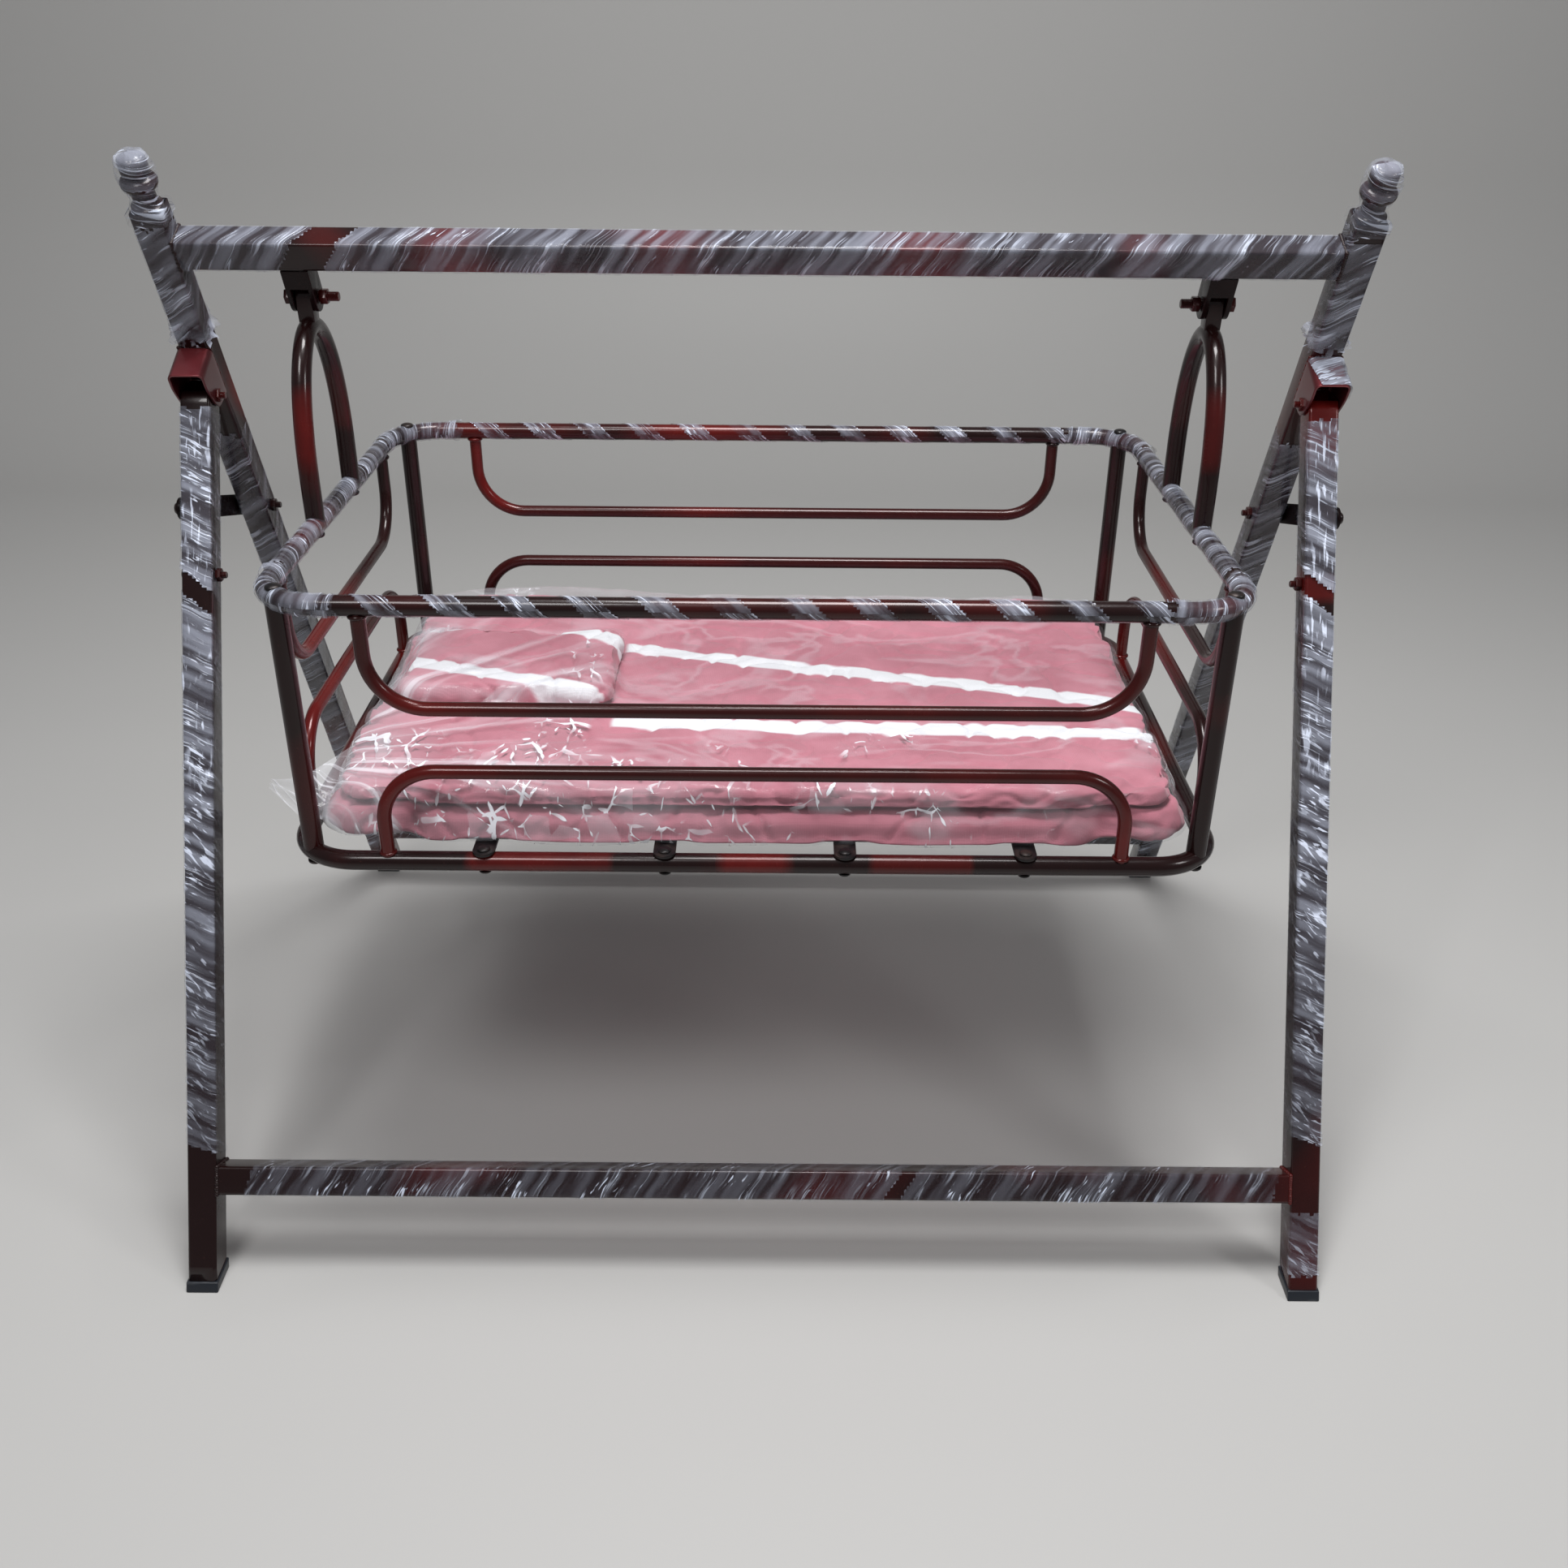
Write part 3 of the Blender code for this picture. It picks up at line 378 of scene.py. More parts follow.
@dataclass(frozen=True)
class SatinBlack(Finish):
    """Black paint on bolts, rivets and slats, rubbed a little brown."""

    base: Colour = (0.010, 0.009, 0.010)
    rubbed: Colour = (0.045, 0.026, 0.022)
    roughness: float = 0.34
    metallic: float = 0.35

    def paint(self, bench: Bench) -> dict[str, Any]:
        """Fine wear in the colour and the roughness.

        Args:
            bench: bench of the material's tree.

        Returns:
            Values and wires of the shader's sockets.
        """
        place = self.place(bench)
        wear = bench.noise(place, 70.0, 5.0, 0.65).ease(0.46, 0.78)
        return {
            "Base Color": bench.mix(wear, self.base, self.rubbed),
            "Roughness": self.roughness + wear * 0.18,
            "Metallic": self.metallic,
            "Normal": bench.bump(bench.noise(place, 320.0, 3.0, 0.5), 0.08, 0.0005),
        }


@dataclass(frozen=True)
class CapPlastic(Finish):
    """Blue-black moulded plastic with a scuffed, fine-grained face."""

    base: Colour = (0.010, 0.013, 0.019)
    scuff: Colour = (0.085, 0.090, 0.100)

    def paint(self, bench: Bench) -> dict[str, Any]:
        """Scuffs over a fine grain.

        Args:
            bench: bench of the material's tree.

        Returns:
            Values and wires of the shader's sockets.
        """
        place = self.place(bench)
        scuff = bench.drawn(place, (40.0, 40.0, 160.0), 4.0, 0.6).ease(0.56, 0.82)
        return {
            "Base Color": bench.mix(scuff * 0.55, self.base, self.scuff),
            "Roughness": 0.38 + scuff * 0.25,
            "Normal": bench.bump(bench.noise(place, 900.0, 2.0, 0.5), 0.10, 0.0004),
        }


@dataclass(frozen=True)
class StretchFilm(Finish):
    """Clear stretch film: milky streaks along the wind, white edges, crinkles with painted glints where they would
    catch the light, and a painted reflection on faces turned front and up.
    """

    haze: float = 0.10
    streak: float = 0.20
    line: float = 0.40
    axial: float = 0.0
    low_share: float = 1.0
    # share of the film kept on side faces; faces turned front and up show more, a painted reflection
    shaded_side_share: float = 1.0
    edge: float = 0.24
    glint: float = 0.80
    glint_low: float = 0.64
    patch_low: float = 0.54
    shade: Colour = (0.30, 0.31, 0.38)
    white: Colour = (0.78, 0.84, 1.0)
    maps: tuple[str, str, str] = ("wrap", "film", "tube")
    loose: str = "film_loose"
    # mark that carries the painted reflection on faces turned front and up
    painted_reflection: str = "film_facing"

    def paint(self, bench: Bench) -> dict[str, Any]:
        """Broad veils and thin lines follow the wind, crinkles the tube; loose film is whiter. Faces turned front and
        up show more film, a painted reflection; the white dashes are painted glints.

        Args:
            bench: bench of the material's tree.

        Returns:
            Values and wires of the shader's sockets.
        """
        place = self.place(bench)
        rise = bench.part(place, 2)
        turns, film, tube = (bench.node("ShaderNodeUVMap", {"uv_map": name}) for name in self.maps)
        turn = bench.part(turns, 0)
        veil = bench.drawn(film, (80.0, 6.0, 1.0), distortion=0.2).ease(0.36, 0.68)
        thin = bench.drawn(film, (150.0, 8.0, 1.0), distortion=0.3)
        kept = bench.drawn(film, (46.0, 22.0, 1.0), 1.0).ease(0.46, 0.60)
        lines = (1.0 - abs(thin * 2.0 - 1.0)).ease(0.92, 0.985) * kept
        along, girth = (bench.part(tube, axis) for axis in (0, 1))
        slanted = bench.vector(along + girth, along - girth, 0.0)
        slant = bench.drawn(slanted, (190.0, 40.0, 1.0), distortion=0.3).ease(0.55, 0.64)
        drawn = bench.drawn(tube, (42.0, 260.0, 1.0), distortion=0.4).ease(0.55, 0.64)
        upper = rise.ease(0.36, 0.46)
        gathered = bench.noise(place, 34.0, 2.0, 0.5).ease(0.40, 0.54) * self.axial
        drawn = (drawn * upper + slant * (1.0 - upper)) * gathered
        broken = bench.drawn(film, (30.0, 70.0, 1.0)).ease(0.42, 0.60)
        edge = (1.0 - turn.math("FRACT").ease(0.0, 0.045)) * broken
        # painted highlights: white dashes in patches stand for the crinkles catching the light
        dashes = bench.drawn(film, (360.0, 60.0, 1.0), distortion=0.5)
        dashes = dashes.ease(self.glint_low, self.glint_low + 0.06)
        patches = bench.noise(place, 22.0, 2.0, 0.5).ease(self.patch_low, self.patch_low + 0.12)
        glint = dashes * patches
        loose, painted_reflection = bench.attribute(self.loose), bench.attribute(self.painted_reflection)
        share = self.low_share + (1.0 - self.low_share) * rise.ease(0.12, 0.40)
        # painted reflection: more film shows on faces turned front and up, as if they mirrored the ceiling; side faces
        # keep a smaller share
        share = share * (self.shaded_side_share + (1.0 - self.shaded_side_share) * painted_reflection)
        cover = self.haze * (0.5 + veil) + veil * self.streak + lines * self.line + edge * self.edge
        cover = (cover + drawn * 0.6 + glint * self.glint) * share + loose * (0.12 + 0.40 * veil)
        light = veil * 0.35 + lines * 0.8 + drawn * 0.9 + edge * 0.7 + glint + loose * 0.5
        return {
            "Base Color": bench.mix(light.math("MINIMUM", 1.0), self.shade, self.white),
            "Alpha": cover.math("MINIMUM", 0.94),
            "Roughness": 0.10 + veil * 0.12,
            "IOR": 1.5,
            "Normal": bench.bump(veil * 0.5 + lines * 0.6 + dashes * 0.4, 0.5, 0.0012),
        }


@dataclass(frozen=True)
class ClearBag(Finish):
    """Clear polythene bag: nearly invisible, hazy in folds, with painted white glints on its crumples."""

    haze: float = 0.035
    fold_haze: float = 0.12
    loose_haze: float = 0.20
    mouth: Point = (-0.412, -0.190, 0.40)
    white: Colour = (0.88, 0.89, 0.95)
    loose: str = "bag_loose"
    glint_zone: str = "bag_glint_zone"

    @staticmethod
    def strokes(bench: Bench, place: Wire, scale: float) -> Wire:
        """Painted highlights: short tapering strokes along the creases between crushed facets.

        Args:
            bench: bench of the material's tree.
            place: Object coordinates.
            scale: scale of the facets.

        Returns:
            How white each place is.
        """
        swirl = bench.node("ShaderNodeTexNoise", None, {"Vector": place, "Scale": 0.8 * scale, "Detail": 1.0}, "Color")
        crushed = bench.node("ShaderNodeVectorMath", {"operation": "MULTIPLY_ADD"},
                             {0: swirl, 1: (0.5 / scale,) * 3, 2: bench.stretch(place, (1.0, 0.5, 0.8))})
        cells = {"Vector": crushed, "Scale": scale}
        apart = bench.node("ShaderNodeTexVoronoi", {"feature": "DISTANCE_TO_EDGE"}, cells, "Distance")
        facet = bench.node("ShaderNodeTexVoronoi", {"feature": "F1"}, cells, "Color")
        facet = bench.part(facet, 0).ease(0.90, 0.92)
        taper = bench.noise(place, 1.5 * scale, 1.0, 0.5).ease(0.47, 0.68)
        lines = (taper * 0.058 - apart).ease(0.0, 0.026)
        return lines * (bench.noise(place, 0.9 * scale, 1.0, 0.5).ease(0.38, 0.60) * 0.7 + 0.3) + facet * 0.14

    def paint(self, bench: Bench) -> dict[str, Any]:
        """Haze in folds and at the loose end, pull lines from the mouth, clustered painted glints in front and on the
        sides.

        Args:
            bench: bench of the material's tree.

        Returns:
            Values and wires of the shader's sockets.
        """
        place = self.place(bench)
        folds = bench.drawn(place, (6.0, 10.0, 10.0), 3.0, 0.55, 0.8)
        crease = (1.0 - abs(folds * 2.0 - 1.0)).ease(0.90, 1.0)
        apart = bench.stretch(place, (1.0, 1.0, 1.0), tuple(-value for value in self.mouth))
        x, y = (bench.part(apart, axis) for axis in (0, 1))
        reach = (x * x + y * y) ** 0.5
        bearing = y.math("ARCTAN2", x)
        pull = bench.noise(bench.vector(bearing * 11.0, reach * 2.0, 0.0), 1.0, 3.0, 0.5).ease(0.50, 0.66)
        pull = pull * (1.0 - reach.ease(0.10, 0.44))
        loose, glint_zoned = bench.attribute(self.loose), bench.attribute(self.glint_zone)
        # painted highlights: the glints gather in clusters, most where the bag's glint zone mark is high
        clusters = (bench.noise(place, 9.0, 2.0, 0.5) + glint_zoned * 0.20 - 0.15).ease(0.49, 0.57)
        glint = self.strokes(bench, place, 33.0).math("MAXIMUM", self.strokes(bench, place, 60.0)) * clusters
        cover = self.haze + crease * self.fold_haze + loose * self.loose_haze + pull * 0.42
        cover = cover + glint * 0.95 + clusters * 0.05
        return {
            "Base Color": self.white,
            "Alpha": cover.math("MINIMUM", 0.93),
            "Roughness": 0.08,
            "IOR": 1.5,
            "Normal": bench.bump(folds * 0.8 + pull * 0.3, 0.5, 0.003),
        }


@dataclass(frozen=True)
class PinkCloth(Finish):
    """Soft brushed cotton in dusty pink, with woven white bands along gentle curves."""

    pink: Colour = (0.520, 0.190, 0.245)
    shade: Colour = (0.420, 0.135, 0.180)
    white: Colour = (0.74, 0.75, 0.78)
    bands: tuple[tuple[float, ...], ...] = ()
    band_start: float = -1.0
    band_half: float = 0.0115

    def band(self, bench: Bench, place: Wire) -> Wire | float:
        """1 on a white band; each band's middle is a polynomial of X, and its edge wavers a little.

        Args:
            bench: bench of the material's tree.
            place: Object coordinates.

        Returns:
            The share of white, or 0 where the cloth has no bands.
        """
        inside: Wire | float = 0.0
        x, y = (bench.part(place, axis) for axis in (0, 1))
        waver = bench.noise(place, 16.0, 2.0, 0.5) * 0.008 - 0.004
        for factors in self.bands:
            middle = x * factors[-1] + factors[-2]
            for factor in reversed(factors[:-2]):
                middle = middle * x + factor
            gap = abs(y + waver - middle)
            mark = 1.0 - gap.ease(self.band_half - 0.0020, self.band_half + 0.0020)
            inside = mark if isinstance(inside, float) else inside.math("MAXIMUM", mark)
        if isinstance(inside, float):
            return inside
        return inside * (x + waver * 2.0).ease(self.band_start - 0.003, self.band_start + 0.003)

    def paint(self, bench: Bench) -> dict[str, Any]:
        """A fine weave with soft blotches under the bands.

        Args:
            bench: bench of the material's tree.

        Returns:
            Values and wires of the shader's sockets.
        """
        place = self.place(bench)
        blotch = bench.noise(place, 14.0, 4.0, 0.6).ease(0.36, 0.72)
        cloth = bench.mix(blotch, self.shade, self.pink)
        threads = {"Vector": place, "Scale": 260.0, "Distortion": 1.0}
        warp, weft = (bench.node("ShaderNodeTexWave", {"wave_type": "BANDS", "bands_direction": way}, threads, 1)
                      for way in "XY")
        fuzz = bench.noise(place, 520.0, 3.0, 0.6)
        height = warp * 0.5 + weft * 0.5 + fuzz * 0.8
        return {
            "Base Color": bench.mix(self.band(bench, place), cloth, self.white),
            "Roughness": 0.80 + fuzz * 0.15,
            "Sheen Weight": 0.25,
            "Normal": bench.bump(height, 0.16, 0.0008),
        }


@dataclass(frozen=True)
class StudioFloor(Finish):
    """Plain pale floor."""

    tone: Colour = (0.50, 0.495, 0.485)

    def paint(self, bench: Bench) -> dict[str, Any]:
        """A slight cloudiness keeps it from looking flat.

        Args:
            bench: bench of the material's tree.

        Returns:
            Values and wires of the shader's sockets.
        """
        cloud = bench.noise(self.place(bench), 1.6, 4.0, 0.6)
        return {
            "Base Color": bench.mix(cloud * 0.10, self.tone, (0.44, 0.43, 0.41)),
            "Roughness": 0.55,
        }


@dataclass
class Workshop:
    """Shared finishes and the mesh work that every sub-assembly uses."""

    finishes: dict[str, bpy.types.Material] = field(default_factory=dict)

    def finish(self, finish: Finish) -> bpy.types.Material:
        """Build a finish once."""
        if finish.name not in self.finishes:
            self.finishes[finish.name] = finish.material()
        return self.finishes[finish.name]

    def piece(self, name: str, mesh: Mesh, finish: Finish | None, body: Body, slot: Slot | None = None,
              replaces: Sequence[str] = (), smooth_angle: float = EASED_EDGE) -> bpy.types.Object:
        """Link a finished mesh as a piece of the object.

        Args:
            name: the piece's name.
            mesh: its mesh, in place.
            finish: its finish, or None where the mesh has its material already.
            body: the body that it rides on.
            slot: the record's material slot that it takes after; not used.
            replaces: nodes that it stands for.
            smooth_angle: edges sharper than this many degrees stay sharp.

        Returns:
            The new object.
        """
        mesh.name = name
        if finish:
            mesh.materials.clear()
            mesh.materials.append(self.finish(finish))
        mesh.shade_smooth()
        mesh.set_sharp_from_angle(angle=math.radians(smooth_angle))
        item = linked(name, mesh)
        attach(item, body.value)
        if replaces:
            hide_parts(*replaces)
        LOG.info("%s: %d faces", name, len(mesh.polygons))
        return item

    def film(self, name: str, meshes: list[Mesh], body: Body, film: StretchFilm) -> None:
        """Join windings in one piece of film."""
        mesh = meshes[0] if len(meshes) == 1 else self.merged(meshes)
        self.piece(name, mesh, film, body, None, (), NO_EDGE)

    @staticmethod
    def evaluated(item: bpy.types.Object) -> Mesh:
        """Turn an object with its modifiers into a plain mesh and remove the object.

        Args:
            item: the object.

        Returns:
            Its mesh with the modifiers applied.
        """
        graph = bpy.context.evaluated_depsgraph_get()
        mesh = bpy.data.meshes.new_from_object(item.evaluated_get(graph), depsgraph=graph)
        bpy.data.objects.remove(item)
        return mesh

    @staticmethod
    def weld(mesh: Mesh, distance: float = 1e-6) -> Mesh:
        """Merge doubles and turn the faces outwards.

        Args:
            mesh: the mesh to change.
            distance: points nearer than this become one.

        Returns:
            The same mesh.
        """
        work = bmesh.new()
        work.from_mesh(mesh)
        bmesh.ops.remove_doubles(work, verts=work.verts, dist=distance)
        bmesh.ops.recalc_face_normals(work, faces=work.faces)
        work.to_mesh(mesh)
        work.free()
        return mesh

    @staticmethod
    def merged(meshes: Iterable[Mesh]) -> Mesh:
        """Gather meshes in one.

        Args:
            meshes: the meshes, which stay as they are.

        Returns:
            A new mesh.
        """
        work = bmesh.new()
        for mesh in meshes:
            work.from_mesh(mesh)
        return made("merged", work)

    @staticmethod
    def mark(mesh: Mesh, name: str, rule: Callable[[Vector], float]) -> Mesh:
        """Store a value on each point of a mesh under a name."""
        layer = mesh.attributes.new(name, "FLOAT", "POINT")
        layer.data.foreach_set("value", [rule(vert.co) for vert in mesh.vertices])
        return mesh

    def tint(self, mesh: Mesh, rule: Callable[[Vector], float]) -> Mesh:
        """Shift the paint's tone on a mesh: below 0 it is darker, above 0 redder."""
        return self.mark(mesh, CandyPaint.tint, rule)

    @staticmethod
    def sliced(mesh: Mesh, axis: int, count: int = 60) -> Mesh:
        """Cut a mesh into even lengths across an axis, so that a tint can vary along it.

        Args:
            mesh: the mesh to change.
            axis: index of the axis.
            count: number of lengths.

        Returns:
            The same mesh.
        """
        work = bmesh.new()
        work.from_mesh(mesh)
        across = Vector([float(index == axis) for index in range(3)])
        low, high = (rule(vert.co[axis] for vert in work.verts) for rule in (min, max))
        for index in range(1, count):
            bmesh.ops.bisect_plane(work, geom=work.verts[:] + work.edges[:] + work.faces[:], dist=1e-6,
                                   plane_co=across * (low + (high - low) * index / count), plane_no=across)
        work.to_mesh(mesh)
        work.free()
        return mesh

    def curve(self, points: Sequence[Point], cyclic: bool = False) -> bpy.types.Object:
        """A poly curve through points, linked for evaluation.

        Args:
            points: places along the curve.
            cyclic: join its ends.

        Returns:
            The curve's object.
        """
        data = bpy.data.curves.new("path", "CURVE")
        data.dimensions = "3D"
        spline = data.splines.new("POLY")
        spline.points.add(len(points) - 1)
        spline.use_cyclic_u = cyclic
        for spot, place in zip(spline.points, points):
            spot.co = (*place, 1.0)
        return linked("path", data)

    def rod(self, points: Sequence[Point], radius: float, cyclic: bool = False) -> Mesh:
        """A round rod along points, with closed ends.

        Args:
            points: places along the axis.
            radius: radius of the rod.
            cyclic: join its ends.

        Returns:
            The rod's mesh.
        """
        item = self.curve(points, cyclic)
        item.data.bevel_depth = radius
        item.data.bevel_resolution = 10
        item.data.use_fill_caps = not cyclic
        return self.weld(self.evaluated(item))

    def turned(self, profile: Sequence[Pair], matrix: Matrix, steps: int = 32) -> Mesh:
        """Turn a profile of (radius, height) about the local Z axis and put it in place.

        Args:
            profile: pairs of radius and height.
            matrix: where it goes.
            steps: faces round it.

        Returns:
            The turned mesh.
        """
        work = bmesh.new()
        verts = [work.verts.new((radius, 0.0, height)) for radius, height in profile]
        edges = [work.edges.new(pair) for pair in zip(verts, verts[1:])]
        bmesh.ops.spin(work, geom=verts + edges, axis=(0, 0, 1), cent=(0, 0, 0), angle=2 * math.pi, steps=steps)
        bmesh.ops.remove_doubles(work, verts=work.verts, dist=1e-6)
        bmesh.ops.recalc_face_normals(work, faces=work.faces)
        mesh = made("turned", work)
        mesh.transform(matrix)
        return mesh

    @staticmethod
    def plate(outline: Sequence[Vector | Point], rise: Point, width: float, segments: int) -> Mesh:
        """Raise an outline to a plate and ease its sharp edges.

        Args:
            outline: corners of one face.
            rise: from that face to the other.
            width: width of the eased edge.
            segments: steps across the edge.

        Returns:
            The plate's mesh.
        """
        work = bmesh.new()
        face = work.faces.new([work.verts.new(place) for place in outline])
        raised = bmesh.ops.extrude_face_region(work, geom=[face])["geom"]
        bmesh.ops.translate(work, vec=rise, verts=[item for item in raised if isinstance(item, bmesh.types.BMVert)])
        bmesh.ops.recalc_face_normals(work, faces=work.faces)
        rims = [edge for edge in work.edges if edge.calc_face_angle(0.0) > PLATE_RIM]
        bmesh.ops.bevel(work, geom=rims, offset=width, segments=segments, profile=0.5, affect="EDGES")
        return made("plate", work)

    def grown(self, item: bpy.types.Object, tree: bpy.types.NodeTree, values: dict[str, Any]) -> Mesh:
        """Run a geometry tree on an object, with its named inputs set by identifier first.

        Args:
            item: the object, which is removed.
            tree: the geometry tree.
            values: a value for each named input.

        Returns:
            The tree's mesh.
        """
        modifier = item.modifiers.new(tree.name, "NODES")
        modifier.node_group = tree
        for socket in tree.interface.items_tree:
            if socket.in_out == "INPUT" and socket.name in values:
                modifier[socket.identifier] = values[socket.name]
        return self.evaluated(item)

    def eased_copy(self, node: str, width: float, segments: int = 2, least: float = 0.0) -> Mesh:
        """Copy a node of the frame with its sharp outer edges eased.

        Args:
            node: name of the node.
            width: width of the eased edge.
            segments: steps across the edge.
            least: shorter edges stay sharp.

        Returns:
            The new mesh.
        """
        work = bmesh.new()
        work.from_mesh(FRAME["nodes"][node].data)
        bmesh.ops.remove_doubles(work, verts=work.verts, dist=1e-5)
        bmesh.ops.dissolve_limit(work, angle_limit=math.radians(1.0), verts=work.verts, edges=work.edges)
        edges = [edge for edge in work.edges if edge.is_manifold and edge.is_convex
                 and edge.calc_face_angle() > NODE_RIM and edge.calc_length() > least]
        bmesh.ops.bevel(work, geom=edges, offset=width, segments=segments, profile=0.6, affect="EDGES",
                        clamp_overlap=True)
        return made(node + "_eased", work)


def opened(name: str, inputs: Iterable[tuple[str, str]]) -> tuple[Bench, dict[str, Wire]]:
    """Start a geometry tree.

    Args:
        name: the tree's name.
        inputs: name and kind of each input after the geometry.

    Returns:
        The tree's bench and a wire for each input.
    """
    tree = bpy.data.node_groups.new(name, "GeometryNodeTree")
    for label, kind in (("Geometry", "Geometry"), *inputs):
        tree.interface.new_socket(label, in_out="INPUT", socket_type="NodeSocket" + kind)
    tree.interface.new_socket("Geometry", in_out="OUTPUT", socket_type="NodeSocketGeometry")
    bench = Bench(tree)
    group = tree.nodes.new("NodeGroupInput")
    return bench, {socket.name: Wire(bench, socket) for socket in group.outputs if socket.name}


def closed(bench: Bench, geometry: Wire, finish: Wire) -> bpy.types.NodeTree:
    """End a geometry tree: real geometry in one finish.

    Args:
        bench: the tree's bench.
        geometry: what the tree has made.
        finish: its material.

    Returns:
        The finished tree.
    """
    geometry = bench.node("GeometryNodeRealizeInstances", None, {"Geometry": geometry})
    geometry = bench.node("GeometryNodeSetMaterial", None, {"Geometry": geometry, "Material": finish})
    last = bench.tree.nodes.new("NodeGroupOutput")
    bench.tree.links.new(geometry.socket, last.inputs["Geometry"])
    return bench.tree


@dataclass
class FilmWrap:
    """Stretch film wound in a helix round a tube, made by Geometry Nodes along the tube's axis."""

    half: float
    squareness: float = 12.0
    tilt: float = 0.0
    pitch: float = 0.034
    cover: float = 1.0
    lift: float = 0.0006
    step: float = 0.0005
    crinkle: float = 0.0006
    flare: float = 0.0
    start_slant: float = 0.0
    end_slant: float = 0.0
    tear: float = 0.012
    hand: float = 1.0
    seed: float = 0.0
    spacing: float = 0.0025
    sides: int = 44

    INPUTS = ("Half", "Squareness", "Tilt", "Pitch", "Cover", "Lift", "Step", "Crinkle", "Flare",
              "Start Slant", "End Slant", "Tear", "Hand", "Seed", "Spacing")

    @classmethod
    def tree(cls) -> bpy.types.NodeTree:
        """Build the node tree once.

        Returns:
            A geometry tree that turns a curve into a wound film.
        """
        known = bpy.data.node_groups.get("film_wrap")
        if known:
            return known
        floats = ((name, "Float") for name in cls.INPUTS)
        bench, given = opened("film_wrap", (*floats, ("Sides", "Int"), ("Film", "Material")))

        path = bench.node("GeometryNodeSetCurveNormal", {"mode": "Z_UP"}, {"Curve": given["Geometry"]})
        path = bench.node("GeometryNodeSetCurveTilt", None, {"Curve": path, "Tilt": given["Tilt"]})
        path = bench.node("GeometryNodeResampleCurve", {"mode": "LENGTH"},
                          {"Curve": path, "Length": given["Spacing"]})
        total = bench.node("GeometryNodeCurveLength", None, {"Curve": path})
        travelled = bench.node("GeometryNodeSplineParameter", output="Length")
        path = cls.remember(bench, path, "along", travelled)

        line = bench.node("GeometryNodeCurvePrimitiveLine", None, {"Start": (0, 0, 0), "End": (1, 0, 0)})
        line = bench.node("GeometryNodeResampleCurve", {"mode": "COUNT"}, {"Curve": line, "Count": given["Sides"]})
        share = bench.node("GeometryNodeSplineParameter", output="Factor")
        line = cls.remember(bench, line, "around", share)
        angle = bench.named("around") * (2 * math.pi)
        east, north = angle.math("COSINE"), angle.math("SINE")
        power = given["Squareness"]
        radius = given["Half"] / (abs(east) ** power + abs(north) ** power) ** (1.0 / power)
        section = bench.node("GeometryNodeSetPosition", None,
                             {"Geometry": line, "Position": bench.vector(east * radius, north * radius, 0.0)})

        film = bench.node("GeometryNodeCurveToMesh", None, {"Curve": path, "Profile Curve": section})
        along, around = bench.named("along"), bench.named("around")
        turn = along * given["Hand"] / given["Pitch"] + around
        layer = turn.math("FRACT")
        place = bench.node("GeometryNodeInputPosition")
        rumple = {"Vector": place, "W": given["Seed"], "Scale": 75.0, "Detail": 3.0, "Roughness": 0.6}
        rough = bench.node("ShaderNodeTexNoise", {"noise_dimensions": "4D"}, rumple) - 0.5
        ragged = bench.node("ShaderNodeTexNoise", {"noise_dimensions": "4D"}, {**rumple, "Scale": 130.0})
        lead = (around - 0.5) * given["Hand"] + 0.5
        first, last = given["Pitch"] * given["Start Slant"], given["Pitch"] * given["End Slant"]
        opening = along - (1.0 - lead) * first
        margin = opening.math("MINIMUM", total - along - lead * last)
        ending = 1.0 - opening.ease(0.0, 0.028)
        height = given["Lift"] + layer * given["Step"] + rough * 2.0 * given["Crinkle"]
        height = height + ending * given["Flare"] * ragged.ease(0.36, 0.70)
        normal = bench.node("GeometryNodeInputNormal")
        # painted reflection: how far each face turns to the front and up; the film's shader shows more film there
        painted_reflection = bench.node("ShaderNodeVectorMath", {"operation": "DOT_PRODUCT"},
                            {0: normal, 1: (0.0, -0.90, 0.43)}, "Value").ease(0.10, 0.80)
        film = cls.remember(bench, film, StretchFilm.painted_reflection, painted_reflection)
        offset = bench.node("ShaderNodeVectorMath", {"operation": "SCALE"}, {"Vector": normal, "Scale": height})
        film = bench.node("GeometryNodeSetPosition", None, {"Geometry": film, "Offset": offset})
        girth = around * given["Half"] * 8.0
        for name, value in zip(StretchFilm.maps, (bench.vector(turn, around, 0.0),
                                                  bench.vector(turn * given["Pitch"], girth, 0.0),
                                                  bench.vector(along, girth, 0.0))):
            film = bench.node("GeometryNodeStoreNamedAttribute", {"data_type": "FLOAT2", "domain": "CORNER"},
                              {"Geometry": film, "Name": name, "Value": value})
        film = cls.remember(bench, film, StretchFilm.loose, ending * given["Flare"] * 100.0)
        torn = (layer > given["Cover"]).math("MAXIMUM", (ragged.ease(0.30, 0.70) * given["Tear"]) > margin)
        film = bench.node("GeometryNodeDeleteGeometry", {"domain": "FACE"}, {"Geometry": film, "Selection": torn})
        film = bench.node("GeometryNodeMergeByDistance", None, {"Geometry": film, "Distance": 0.00001})
        film = bench.node("GeometryNodeSetShadeSmooth", None, {"Geometry": film, "Shade Smooth": True})
        return closed(bench, film, given["Film"])

    @staticmethod
    def remember(bench: Bench, geometry: Wire, name: str, value: Wire) -> Wire:
        """Store a value on the points under a name."""
        return bench.node("GeometryNodeStoreNamedAttribute", {"data_type": "FLOAT", "domain": "POINT"},
                          {"Geometry": geometry, "Name": name, "Value": value})

    def wind(self, shop: Workshop, points: Sequence[Point], film: StretchFilm) -> Mesh:
        """Wind the film along a path.

        Args:
            shop: the workshop.
            points: path of the tube's axis.
            film: finish of the film.

        Returns:
            The film's mesh, with its maps and material.
        """
        values = {name: getattr(self, name.lower().replace(" ", "_")) for name in self.INPUTS}
        values.update({"Sides": self.sides, "Film": shop.finish(film)})
        return shop.grown(shop.curve(points), self.tree(), values)


